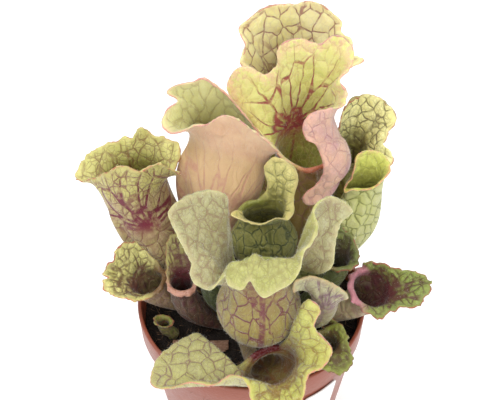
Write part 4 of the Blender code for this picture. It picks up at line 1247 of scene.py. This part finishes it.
    yield Pitcher(
        "pitcher_rear", Slot.GREEN, base=(1, 15.5), start=(0.1, 1.4), mouth=(14, 52, 60), lean=(0, 0),
        facing=-90, belly=9, throat=8.5, rise=28, pull=28, down=0.35, down_length=0.7,
        finish=LeafFinish(
            hood=0xF8F2B6, hood_deep=0xEAE492, throat=0x969646, belly=0x96964C, back=0xD6C896, vein=0x8C3E50,
            vein_back=0x8C465A, margin=0xDC8282, blush=0xE6C496, hub=0x82283C, net=0.75, net_back=0.6,
            rib=0.55, fine=0.15, mesh=0.3, halo=0.2, cell=5.2, stretch=1.5, rib_turn=13, rib_length=30,
            rib_width=0.5, hub_strength=0.3, blush_width=8, margin_width=0.6,
        ),
        margin=rim(
            (0, 1.7), (28, 1.7), (56, 1.7), (304, 1.7), (332, 1.7), (80, 14.5, -5, 10, 6),
            (93, 20.5, -5, 16, 8), (105, 28.5, -3, 20, 9), (115, 23.5, -1, 21, 9), (124, 24, 2, 25.5, 9),
            (133, 20, 5, 26.5, 10), (142, 20, 7, 30, 11), (151, 16.5, 8, 33.5, 12), (160, 12, 9, 37, 12),
            (169, 6.5, 9, 38.5, 12), (177, 3.5, 9, 37, 12), (185, -0.5, 9, 37, 12), (194, -6.5, 9, 36.5, 12),
            (203, -11.5, 8, 34.5, 12), (213, -15.5, 6, 32, 11), (224, -19, 4, 29, 10),
            (234, -16.5, 0, 25.5, 10), (246, -18, -4, 19.5, 9), (259, -13, -7, 17, 7), (279, -10, -8, 9, 5),
        ),
    )
    yield Pitcher(
        "pitcher_right_back", Slot.GREEN, base=(14.5, 9.5), start=(1.6, 0.4), mouth=(38, 32, 46),
        lean=(-0.06, 0.1), facing=-110, belly=5.2, throat=5.6, rise=21, pull=24, wing=1, frill=0.9, down=0.3,
        ragged=0.8, down_length=0.6,
        finish=LeafFinish(
            halo=0.35, hood=0xFAF6B2, hood_deep=0xF0EC9A, throat=0xB0AE5A, belly=0x96964C, back=0x9E9654,
            vein=0x5C4C32, vein_back=0x643C32, margin=0xAA3C3C, blush=0xB48C5A, blush_width=2, hub=0x603C28,
            net=0.8, rib=0.6, cell=4, hub_strength=0.2,
        ),
        margin=rim(
            (0, 1.7), (38, 1.7), (322, 1.7), (70, 13, -9, 2, 4), (86, 16, -7, 5, 6), (101, 12, -3, 9, 8),
            (116, 14, -1, 14, 9), (132, 17, 1, 18, 9), (150, 14, 4, 22, 10), (168, 9, 6, 25, 10),
            (188, 2, 6, 25, 10), (206, -3, 2, 23, 10), (232, -5, -1, 15, 8), (262, -8, 0, 6, 3), (290, 2),
        ),
    )
    yield Pitcher(
        "pitcher_right_pale", Slot.PALE, base=(12, 4), start=(0.8, 0.35), mouth=(42, 12, 50), lean=(0, 0),
        facing=-85, belly=5.9, throat=3.6, wide=1.9, rise=22, pull=24, wing=1.2, down=0.3, down_length=0.6,
        finish=LeafFinish(
            hood=0xD6DA70, hood_deep=0xC8CE62, throat=0xA09E4A, belly=0xBEBE84, back=0xC6C486,
            back_deep=0xB8B874, vein=0x969646, vein_back=0x808442, margin=0xD69678, hub=0x967850, net=0.5,
            net_back=0.85, rib=0.3, rib_back=0.4, fine=0.1, mesh=0.2, cell=4, hub_strength=0.05,
        ),
        margin=rim(
            (0, -1, -5, 2.5, 3, (0, 1, -1)), (30, 3, -5, 3.5, 3), (56, 6, -4, 6, 4), (80, 9, -1, 8, 5),
            (104, 8.5, 2, 10.5, 6), (128, 5.5, 4, 12.5, 7), (152, 0.5, 4, 14, 7), (176, -3, 3, 12.5, 6),
            (202, -4, 1, 8, 5), (230, -4.5, 0, 4.5, 3, (0, 0, -0.5)), (262, -7, -2.5, 2.5, 2, (0, 0, -0.5)),
            (296, -7.5, -5, 1, 1, (0.5, 1, 0), 1.5), (328, -5, -5, 2.5, 3, (0, 1, -1)),
        ),
    )
    yield Pitcher(
        "pitcher_left", Slot.GREEN, base=(-12, 5.5), start=(-0.8, 0.1), mouth=(-45, 20, 42), lean=(-0.2, 0),
        facing=-80, belly=10.5, throat=10.5, wide=1.2, rise=18, pull=26, belly_at=0.8, wing_turn=-60,
        frill=0.8, down=0.4, ragged=0.7, down_length=0.7, hub_turn=4, hub_up=-12, hub_size=4,
        finish=LeafFinish(
            hood=0xE8E494, hood_deep=0xCCCC72, throat=0x969642, belly=0xB09A70, back=0xC8C274,
            back_deep=0xB8AE68, vein=0x783632, vein_back=0x6C1E30, margin=0xB04646, blush=0xC8A078,
            blush_width=2, hub=0x780A28, net=0.6, net_back=0.75, rib=0.6, rib_back=1, fine=0.4, rib_turn=22,
            rib_length=38, hub_strength=0.6,
        ),
        margin=rim(
            (300, -13, -5, 9, 5), (324, -8, -8, 15, 6), (345, -3, -9, 19, 7), (5, 4, -11, 18, 7),
            (25, 11, -10, 21, 7), (45, 15, -9, 17, 6), (65, 18, -6, 11, 6), (88, 16, 1, 7, 5),
            (110, 18, 8, 12, 6), (130, 13, 11, 14, 7), (148, 8, 12, 14, 7), (162, 3, 13, 18, 7),
            (175, 0, 13, 13, 7), (191, -7, 13, 11, 6), (206, -13, 12, 9, 6), (220, -19, 10, 5, 5),
            (235, -23, 5, 0, 4), (252, -20, 1, 1, 4), (276, -17, -2, 5, 4),
        ),
    )
    yield Pitcher(
        "pitcher_left_low", Slot.GREEN, base=(-14.2, -0.8), start=(-0.9, 0.1), mouth=(-39.5, -2.2, 10.3),
        lean=(-0.5, 0), facing=10, belly=4.8, throat=6, rise=8, pull=12, belly_at=0.75, wing=1, frill=1,
        down=0.4, ragged=1, down_length=0.6,
        finish=LeafFinish(
            hood=0xEEE89C, hood_deep=0xCECC76, throat=0x3C201E, belly=0x82644C, back=0xA09054, vein=0x5C3028,
            margin=0xB4383C, blush=0xAA785A, blush_width=1.6, hub=0x5A1E24, lip=0x785A38, cell=3.4,
            hub_strength=0.6,
        ),
        margin=rim(
            (0, 1.7), (35, 1.7), (320, 1.7), (285, 1.7), (70, 0, 8, 8, 5), (95, -6, 8, 15, 6),
            (115, -11, 4, 17, 6), (135, -13, 1, 13, 5), (155, -17, -1, 8, 4), (174, -15, -3, 7, 4),
            (190, -17, -5, 7, 4), (208, -15, -8, 4, 3), (228, -8, -11, 4, 3), (252, -2, -10, 2, 3),
        ),
    )
    yield Pitcher(
        "pitcher_left_inner", Slot.MAROON, base=(-11.5, -7.5), start=(-1, -0.35), mouth=(-26.5, -8, 17),
        lean=(0, 0), facing=-90, belly=5.2, throat=4.4, rise=10, pull=14, wing=0.8, frill=0.7, down=0.3,
        ragged=0.8, down_length=0.6,
        finish=LeafFinish(
            hood=0xA8A45C, hood_deep=0x887C4C, throat=0x3C181E, belly=0x54282C, back=0x88704C, vein=0x541E24,
            vein_back=0x280E16, margin=0xA02C2C, blush=0xA07850, blush_width=1.6, hub=0x5A1422, lip=0xBE8C78,
            cell=3.4, hub_strength=0.6,
        ),
        margin=rim(
            (0, 1.7), (30, 1.7), (60, 1.7), (330, 1.7), (300, 1.7), (90, 6, 3, 4, 3), (112, 6, 5, 7, 4),
            (134, 5, 8, 10, 5), (155, 3, 10, 13, 6), (176, -1, 11, 15, 6), (198, -5, 10, 14, 6),
            (222, -6, 7, 9, 5), (255, -6, 3, 3, 3),
        ),
    )
    yield Pitcher(
        "pitcher_inner_dark", Slot.DARK, base=(-6.5, -2.5), start=(-0.5, -0.4), mouth=(-14, -8, 27),
        lean=(0, 0), facing=60, belly=5.6, throat=4.8, rise=14, pull=16, wing=0.8, down=0.2, down_length=0.5,
        finish=LeafFinish(
            hood=0x5A682C, hood_deep=0x425220, throat=0x282816, belly=0x4A5424, back=0x5A622C, vein=0x2C2A1A,
            vein_back=0x282C16, margin=0x785A3C, hub=0x461E1E, lip=0x605C32, net=0.6, cell=3.2,
            hub_strength=0.2,
        ),
        margin=rim(
            (0, 1.7), (40, 1.7), (320, 1.7), (280, 1.7), (80, -6, 4, 3, 3), (110, -7, 0, 6, 4),
            (145, -5, -6, 8, 5), (180, -2, -7, 8, 5), (215, 2, -7, 6, 4, (0, 0, -1)),
            (248, 4, -5, 3, 2, (0, 0, -1)),
        ),
    )
    yield Pitcher(
        "pitcher_right_low", Slot.MAROON, base=(17.5, -4), start=(2, -0.2), mouth=(45.5, -8.5, 14),
        lean=(0.35, -0.1), facing=170, belly=5.6, throat=7.4, wide=1.15, rise=9, pull=14, belly_at=0.8,
        wing=1, frill=1, down=0.4, ragged=1, down_length=0.6, hub_size=8,
        finish=LeafFinish(
            hood=0x9EAC54, hood_deep=0x7E8E42, throat=0x4C1A22, belly=0xB0A07C, back=0xCCB69A,
            back_deep=0xB8B27C, vein=0x542226, vein_back=0x966460, margin=0xAA2C38, blush=0x825A3C,
            blush_width=1.6, hub=0x5A1422, lip=0xC4828C, net=0.75, cell=3.6, fine=0.4,
        ),
        margin=rim(
            (0, 1.7), (30, 1.7), (60, 1.7), (330, 1.7), (300, 1.7), (84, -1, -12, 0, 3), (102, 3, -13, -1, 3),
            (118, 6, -11, 0, 3), (133, 11, -9, 1, 3), (147, 17, -9, 1, 4), (161, 20, -6, 3, 4),
            (174, 22, -2, 5, 4), (187, 22, 1, 4, 4), (200, 17, 3, 7, 4), (214, 12, 4, 6, 4),
            (230, 8, 6, 6, 4), (250, 3, 8, 6, 4), (274, -2, 9, 5, 3),
        ),
    )
    yield Pitcher(
        "pitcher_right_dark", Slot.DARK, base=(17.5, 1.5), start=(0.8, -0.1), mouth=(33, -3.5, 25),
        lean=(0, 0), facing=-150, belly=4, throat=4.2, rise=12, pull=10, wing=0.8, frill=0.9, down=0.3,
        ragged=0.9, down_length=0.5,
        finish=LeafFinish(
            hood=0x7C8440, hood_deep=0x606A30, throat=0x34301C, belly=0x5A642C, back=0x6C7436, vein=0x3C3220,
            vein_back=0x36381E, margin=0xA03236, blush=0x785A38, blush_width=1.6, hub=0x501E22, lip=0x706438,
            net=0.6, cell=3.4, hub_strength=0.3,
        ),
        margin=rim(
            (0, 1.7), (40, 1.7), (320, 1.7), (75, 0, -6, 1, 3), (95, 4, -6, 2, 3), (115, 7, -4, 3, 4),
            (140, 7, 0, 5, 4), (165, 6, 3, 7, 5), (190, 3, 6, 9, 5), (215, -1, 8, 11, 5), (240, -4, 6, 10, 5),
            (265, -6, 3, 8, 4), (290, -7, 0, 5, 4),
        ),
    )
    yield Pitcher(
        "pitcher_front_right", Slot.GREEN, base=(12.5, -10.5), start=(1, -1.2), mouth=(28, -29, 7),
        lean=(0.1, -0.1), facing=135, belly=4, throat=4.4, rise=8, pull=11, belly_at=0.75, wing=0.8,
        frill=0.7, down=0.3, ragged=0.8, down_length=0.5,
        finish=LeafFinish(
            hood=0x9CA648, hood_deep=0x828C38, throat=0x3C2E1C, belly=0x6E6A34, back=0x8C8848, vein=0x543824,
            margin=0x6E3C28, blush=0x8C7442, blush_width=1.4, hub=0x5A2C1E, cell=3.2, hub_strength=0.2,
        ),
        margin=rim(
            (0, 1.7), (35, 1.7), (325, 1.7), (72, -5, -6, 0, 3), (98, -3, -9, -2, 3), (125, 2, -11, -3, 3),
            (150, 6, -11, -3, 3), (175, 9, -8, -2, 3), (200, 9, -4, 0, 3), (225, 8, 0, 2, 3),
            (250, 7, 4, 4, 3), (275, 5, 6, 5, 3), (300, 2, 7, 3, 2, (0, 0, -1)),
        ),
    )
    yield Pitcher(
        "pitcher_young_fan", Slot.PALE, base=(11, -4.5), start=(0.7, -0.6), mouth=(27, -23, 26),
        lean=(0, -0.15), facing=80, belly=4.4, throat=4.8, rise=12, wing=0.8, down=0.6, down_length=0.7,
        finish=LeafFinish(
            hood=0xC6CE7C, hood_deep=0xB0BA68, throat=0x5A4C38, belly=0x969060, back=0xC8C696,
            back_deep=0xB6B08C, vein=0x7C5A54, vein_back=0x745062, margin=0xCEB082, hub=0x78464C, net=0.4,
            net_back=0.4, rib=0.6, rib_back=0.85, cell=3.4, rib_turn=14, rib_width=0.45, hub_strength=0.2,
        ),
        margin=rim(
            (0, 1.7), (35, 1.7), (325, 1.7), (290, 1.7), (64, -7, 1, 8, 5), (78, -10, -4, 11, 6),
            (92, -12, -9, 14, 7), (110, -12, -8, 18, 8), (130, -9, -6, 18, 8), (150, -6, -5, 18, 8),
            (170, -1, -4, 15, 7), (190, 3, -4, 12, 6), (212, 7, -4, 8, 5), (234, 8, -4, 5, 4),
            (260, 6, -2, 2, 3),
        ),
    )
    yield seedling("seedling_right", (27.5, -15.5), (29.5, -15.5, 0.5), 20)
    yield seedling("seedling_left", (-31, -12.5), (-34, -13.5, -0.5), 40)


def seedling(name: str, base: tuple, mouth: tuple, facing: float) -> Pitcher:
    """A pitcher a few months old, with a plain round hood that is highest at the back.

    Args:
        name: The node that it stands for.
        base: Where it stands in the peat.
        mouth: The middle of its mouth.
        facing: The way that it faces.

    Returns:
        The pitcher.
    """
    margin, reach = [], 3.8
    for turn in range(0, 360, 45):
        x, y = reach * cosine(facing + turn), reach * sine(facing + turn)
        margin.append(Edge(turn, x, y, 2.2 - 1.4 * cosine(turn), 1.2, (0.0, 0.0, 0.3)))
    finish = LeafFinish(
        hood=0x96A046, hood_deep=0x7E8C3A, margin=0x963C38, cell=2.6, blush_width=1.2, rib_width=0.3,
        hub_strength=0.2,
    )
    return Pitcher(
        name, Slot.GREEN, finish=finish, base=base, start=(0.2, -0.1), mouth=mouth, lean=(0.0, 0.0),
        facing=facing, belly=2.3, throat=2.2, rise=3.0, pull=4.0, wing=0.0, margin=margin, down=0.3,
        down_length=0.5, pucker=0.1, thickness=0.5, ragged=0.3, fineness=0.5,
    )


def lathe(profile: list[tuple[float, float]], sides: int) -> tuple[np.ndarray, list]:
    """A closed solid of revolution from an outline of radius and height, whose ends are on the axis.

    Args:
        profile: Radius and height, from the middle of the foot round to the middle of the top.
        sides: The number of columns.

    Returns:
        The points and the faces.
    """
    rad = np.linspace(0, math.tau, sides, endpoint=False)
    rings = [np.stack([r * np.cos(rad), r * np.sin(rad), np.full(sides, z)], -1) for r, z in profile[1:-1]]
    rows = np.arange(len(rings) * sides).reshape(-1, sides)
    places = np.concatenate([*rings, [[0, 0, profile[0][1]], [0, 0, profile[-1][1]]]])
    return places, ring_faces(list(rows)) + caps(rows[0], rows[-1], rows[-1, -1] + 1)


def slab(top: np.ndarray, under: np.ndarray) -> tuple[np.ndarray, list]:
    """A closed sheet between two grids of points.

    Args:
        top: The outer grid, whose rows run up and whose columns run to the right.
        under: The inner grid, of the same size.

    Returns:
        The points and the faces.
    """
    rows, columns = top.shape[:2]
    a = np.arange(rows * columns).reshape(rows, columns)
    b = a + rows * columns
    faces = []
    for i in range(rows - 1):
        for j in range(columns - 1):
            faces.append((a[i, j], a[i, j + 1], a[i + 1, j + 1], a[i + 1, j]))
            faces.append((b[i, j], b[i + 1, j], b[i + 1, j + 1], b[i, j + 1]))
    border = [*a[0, :-1], *a[:-1, -1], *a[-1, :0:-1], *a[:0:-1, 0]]
    for i, j in zip(border, border[1:] + border[:1]):
        faces.append((i, i + rows * columns, j + rows * columns, j))
    places = np.concatenate([top.reshape(-1, 3), under.reshape(-1, 3)])
    return places, [tuple(int(c) for c in face) for face in faces]


@dataclass
class Pot:
    """The tapered pot with its collar, and the blank label on its front right."""

    rim: float = 45.0
    foot: float = 33.0
    collar_drop: float = 12.0
    step: float = 1.2
    edge: float = 0.8
    wall: float = 1.5
    floor: float = 2.2
    drain_radius: float = 4.0
    drain_circle: float = 19.0
    label_turns: tuple = (-62.0, -40.0)
    label_heights: tuple = (22.0, 62.0)
    label_thickness: float = 0.6
    label_corner: float = 2.0

    def wall_radius(self, height: float) -> float:
        """The radius of the outer wall below the collar."""
        top = POT_HEIGHT - self.collar_drop
        return self.foot + (self.rim - self.step - self.edge - self.foot) * height / top

    @staticmethod
    def arc(centre: tuple, radius: float, start: float, end: float, count: int = 4) -> list:
        """Points of a rounded corner, by angles in degrees."""
        turns = np.linspace(start, end, count)
        return [(centre[0] + radius * cosine(t), centre[1] + radius * sine(t)) for t in turns]

    def outline(self) -> list:
        """The pot's closed outline, with its corners rounded.

        Returns:
            Radius and height of each point, from the middle of the foot round to that of the floor.
        """
        top, e = POT_HEIGHT - self.collar_drop, self.edge
        inner_rim = self.rim - self.wall
        floor_radius = self.wall_radius(self.floor) - self.wall
        return [
            (0.0, 0.0), (self.foot - 6.0, 0.0), (self.foot - 4.5, 0.4), (self.foot - 3.0, 0.0),
            *self.arc((self.foot - e, e), e, -90, 0),
            (self.wall_radius(20), 20), (self.wall_radius(45), 45), (self.wall_radius(top - 0.4), top - 0.4),
            (self.wall_radius(top) + 0.35, top), (self.rim - e - 0.2, top + 0.15),
            (self.rim - e + 0.1, top + 0.6), (self.rim - 0.4, top + 6),
            *self.arc((self.rim - 0.7, POT_HEIGHT - 0.7), 0.7, 0, 90),
            *self.arc((inner_rim + 0.5, POT_HEIGHT - 0.5), 0.5, 90, 180),
            (inner_rim - 0.3, POT_HEIGHT - 6), (self.wall_radius(top) - self.wall + 0.4, top + 0.6),
            (self.wall_radius(top) - self.wall, top - 0.6), (self.wall_radius(40) - self.wall, 40),
            (floor_radius, self.floor + e), (floor_radius - e, self.floor), (0.0, self.floor),
        ]

    def build(self) -> None:
        """Makes the pot, with its drain holes, and the label."""
        plastic = PlasticFinish("terracotta_plastic", 0x8A442E, 0xAA7060, 0.32, 0.4).material()
        thing = mesh_object("pot_shell", *lathe(self.outline(), 144), plastic)
        pegs, radius = [], self.drain_radius
        for i in range(4):
            x, y = self.drain_circle * cosine(45 + 90 * i), self.drain_circle * sine(45 + 90 * i)
            shape = lathe([(0, -2), (radius, -2), (radius, 5), (0, 5)], 24)
            pegs.append(mesh_object(f"drain_{i}", *shape, plastic))
            pegs[-1].data.transform(Matrix.Translation((x * MM, y * MM, 0)))
            cutter = thing.modifiers.new(f"drain_{i}", "BOOLEAN")
            cutter.object, cutter.operation, cutter.solver = pegs[-1], "DIFFERENCE", "EXACT"
        mesh = evaluated_mesh(thing)
        thing.modifiers.clear()
        thing.data = mesh
        for peg in pegs:
            bpy.data.objects.remove(peg)
        mesh.set_sharp_from_angle(angle=math.radians(40))
        piece(thing, Slot.POT, "pot")
        self.build_label()

    def build_label(self) -> None:
        """Makes the blank label, with rounded corners, bent round the wall."""
        low, high = self.label_heights
        middle, half, corner = (low + high) / 2, (high - low) / 2, self.label_corner
        turns = np.linspace(*self.label_turns, 41)
        width = np.radians(turns[-1] - turns[0]) * self.wall_radius(middle)
        across = (turns - turns[0]) / (turns[-1] - turns[0]) * width
        inset = np.clip(1 - np.minimum(across, width - across) / corner, 0, 1)
        reach = half - corner * (1 - np.sqrt(np.clip(1 - inset**2, 0, 1)))
        heights = middle + np.linspace(-1, 1, 33)[:, None] * reach
        under, top = (self.bent(turns, heights, LABEL_GAP + lift) for lift in (0.0, self.label_thickness))
        paper = GroundFinish("label_paper", 0xECECE8, 0xFAFAF8, 5.0, 0.6, 0.04)
        piece(mesh_object("label_card", *slab(top, under), paper.material()), Slot.LABEL, "label")

    def bent(self, turns: np.ndarray, heights: np.ndarray, lift: float) -> np.ndarray:
        """Places at turns and heights, lifted off the pot's wall."""
        radius = self.foot + (self.wall_radius(1) - self.foot) * heights + lift
        return np.stack([radius * np.cos(np.radians(turns)), radius * np.sin(np.radians(turns)), heights], -1)


@dataclass
class Ground:
    """The peat with its crumbs and fibres, the rhizome, and the dry old leaf."""

    crumbs: Scatter
    fibres: Scatter
    radius: float = 42.2
    shoulder: float = 63.0
    sole: tuple = ((32.0, 3.5), (31.0, 2.6), (0.0, 2.6))
    rhizome_place: tuple = (0.0, 6.0)
    rhizome_radius: float = 4.2
    rhizome_stands: float = 3.5

    def build(self) -> None:
        """Makes the peat, the rhizome and the old leaf."""
        self.build_peat()
        self.build_rhizome()
        self.build_old_leaf()

    def build_peat(self) -> None:
        """Makes the loose top and the sides of the peat, and strews crumbs and fibres on it."""
        count, sides = ((64, 220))
        flat = [(r, PEAT_TOP) for r in np.linspace(0.5, self.radius, count)]
        profile = [(0.0, PEAT_TOP), *flat, (self.radius, self.shoulder), *self.sole]
        places, faces = lathe(profile[::-1], sides)
        top = places[:, 2] > PEAT_TOP - 0.01
        away = np.hypot(places[:, 0], places[:, 1])
        raised = lumps(places[top], 5.0) + 0.6 * lumps(places[top], 1.9, 5.0) + 0.3 * lumps(places[top], 0.9)
        places[top, 2] += raised * np.clip((self.radius - away[top]) / 3 + 0.2, 0, 1)
        soil = GroundFinish("peat_fibrous", 0x18120F, 0x4A382C, 2.0, 0.95, 0.7)
        thing = mesh_object("peat_top", places, faces, soil.material())
        add_attribute(thing.data, "down", np.where(places[:, 2] > PEAT_TOP - 3.0, 1.0, 0.0))
        dark = GroundFinish("peat_crumb", 0x140F0C, 0x402E22, 1.5, 0.95, 0.3).material()
        pale = GroundFinish("peat_fibre", 0x5C422E, 0xB08C68, 4.0, 0.8, 0.1).material()
        grains = self.crumbs.over(
            "peat_crumbs", thing, Material=dark, Density=6e5, Length=0.75, Least=0.25, Tilt=3.0, Seed=3,
        )
        threads = self.fibres.over(
            "peat_fibres", thing, Material=pale, Density=1.4e5, Length=5.0, Radius=0.16, Tilt=1.5,
            Least=0.3, Seed=5,
        )
        piece(grains, Slot.PEAT)
        piece(threads, Slot.PEAT)
        piece(thing, Slot.PEAT, "peat")

    def build_rhizome(self) -> None:
        """Makes the short rootstock with the scars of old leaves round it."""
        r, top = self.rhizome_radius, PEAT_TOP + self.rhizome_stands
        heights = np.linspace(PEAT_TOP - 4.0, top - 0.8, 26)
        profile = [(0.0, heights[0]), (r - 0.6, heights[0])]
        for z in heights[1:]:
            profile.append((r - 0.45 * (1 - ((z - heights[0]) * 0.62 % 1.0)) - 0.2, z))
        profile += [(r - 1.6, top - 0.2), (r - 3.0, top + 0.25), (0.0, top + 0.3)]
        places, faces = lathe(profile, 56)
        away = unit(places * (1, 1, 0))
        places = places + away * np.minimum(0.5 * lumps(places, 1.6), 0.2)[:, None]
        places[:, :2] += self.rhizome_place
        bark = GroundFinish("rhizome_bark", 0x462A1C, 0x966C4C, 1.6, 0.85, 0.3)
        piece(mesh_object("rhizome_stem", places, faces, bark.material()), Slot.RHIZOME, "rhizome")

    @staticmethod
    def build_old_leaf() -> None:
        """Makes the flattened, grooved, dry leaf that lies on the peat and curls up at its tip."""
        # Along the leaf: x, y, half the width, and the height over the peat
        spine = np.array([
            (-9.0, -17.5, 2.4, 1.6), (-15.0, -19.0, 3.4, 1.7), (-22.0, -20.0, 3.8, 2.2),
            (-27.0, -19.5, 3.4, 2.9), (-30.5, -18.5, 1.6, 3.6),
        ])
        rows, columns = 90, 45
        keys, along = range(len(spine)), np.linspace(0, len(spine) - 1, rows)
        x, y, half, height = (smooth_profile(keys, line, along)[:, None] for line in spine.T)
        offsets = np.linspace(-1, 1, columns)
        drop = np.interp(offsets, (-1.0, -0.4, 0.4, 1.0), (0.5, 0.0, 0.1, 0.7))
        grid = np.stack([x + 0 * offsets, y + offsets * half, PEAT_TOP + height - drop], -1)
        grooves = 0.16 * np.cos(offsets * 17)[None] + 0.25 * lumps(grid, 3.0) + 0.1 * lumps(grid, 1.0)
        grid[..., 1] += 0.5 * lumps(grid, 1.6, 4.0) * (np.abs(offsets) > 0.86)
        top, under = grid.copy(), grid.copy()
        thick = 0.5 * np.clip((1 - np.abs(offsets)) * 5, 0.25, 1)
        top[..., 2] += thick + grooves
        under[..., 2] += grooves - thick
        dry = GroundFinish("dry_tissue", 0x805A42, 0xD6AC92, 3.0, 0.7, 0.25, (0.35, 2.4, 1.0)).material()
        piece(mesh_object("old_leaf_dry", *slab(top[::-1], under[::-1]), dry), Slot.DRY, "old_leaf")


@dataclass
class Studio:
    """The pale floor, the soft lights and the camera."""

    camera_place: tuple = (-0.6, -321.8, 455.5)
    camera_down: float = 45.11
    lens: float = 90.0
    floor_reach: float = 4000.0
    floor_glow: float = 0.25
    surround: float = 0.72

    def build(self) -> None:
        """Sets up the studio."""
        self.build_floor()
        self.build_lights()
        self.build_camera()

    def build_floor(self) -> None:
        """Makes a wide, even, pale floor."""
        reach = self.floor_reach * MM
        mesh = bpy.data.meshes.new("floor")
        corners = [(-reach, -reach, 0), (reach, -reach, 0), (reach, reach, 0), (-reach, reach, 0)]
        mesh.from_pydata(corners, [], [(0, 1, 2, 3)])
        paper = PlasticFinish("white_paper", (0.96, 0.96, 0.96), (0.94, 0.94, 0.94), 0.8, 0.2).material()
        glow = paper.node_tree.nodes["Principled BSDF"].inputs
        glow["Emission Color"].default_value = (1.0, 1.0, 1.0, 1.0)
        glow["Emission Strength"].default_value = self.floor_glow
        mesh.materials.append(paper)
        linked("floor", mesh)

    def build_lights(self) -> None:
        """Adds an even white surround, and lights above, at the upper left and in front."""
        world = bpy.data.worlds.new("studio")
        world.use_nodes = True
        backdrop = world.node_tree.nodes["Background"]
        backdrop.inputs["Color"].default_value = (1.0, 1.0, 1.0, 1.0)
        backdrop.inputs["Strength"].default_value = self.surround
        bpy.context.scene.world = world
        for name, place, size, power in (
            ("above", (0.0, 0.1, 1.6), 1.6, 8.0), ("key", (-0.7, -0.3, 1.5), 0.35, 6.0),
            ("front", (0.3, -1.1, 0.8), 0.8, 7.0),
        ):
            light = bpy.data.lights.new(name, "AREA")
            light.size, light.energy = size, power
            lamp = linked(name, light)
            lamp.location = place
            lamp.rotation_euler = (Vector((0, 0, 0.1)) - Vector(place)).to_track_quat("-Z", "Y").to_euler()
        bpy.context.scene.view_settings.view_transform = "Standard"

    def build_camera(self) -> None:
        """Sets the camera at the photograph's viewing angle."""
        lens = bpy.data.cameras.new("camera")
        lens.lens, lens.sensor_width, lens.clip_start = self.lens, 36.0, 0.01
        camera = linked("camera", lens)
        camera.location = Vector(self.camera_place) * MM
        camera.rotation_euler = (math.radians(90 - self.camera_down), 0, 0)
        bpy.context.scene.camera = camera


def main() -> None:
    """Builds the studio, the pot, the ground and the plant."""
    logging.basicConfig(level=logging.INFO, format="%(message)s")
    Studio().build()
    Pot().build()
    Ground(Scatter("crumb_scatter"), Scatter("fibre_scatter", sides=4)).build()
    Plant(Scatter("down_scatter", sides=3), DownFinish().material()).build()


if __name__ == "__main__":
    main()
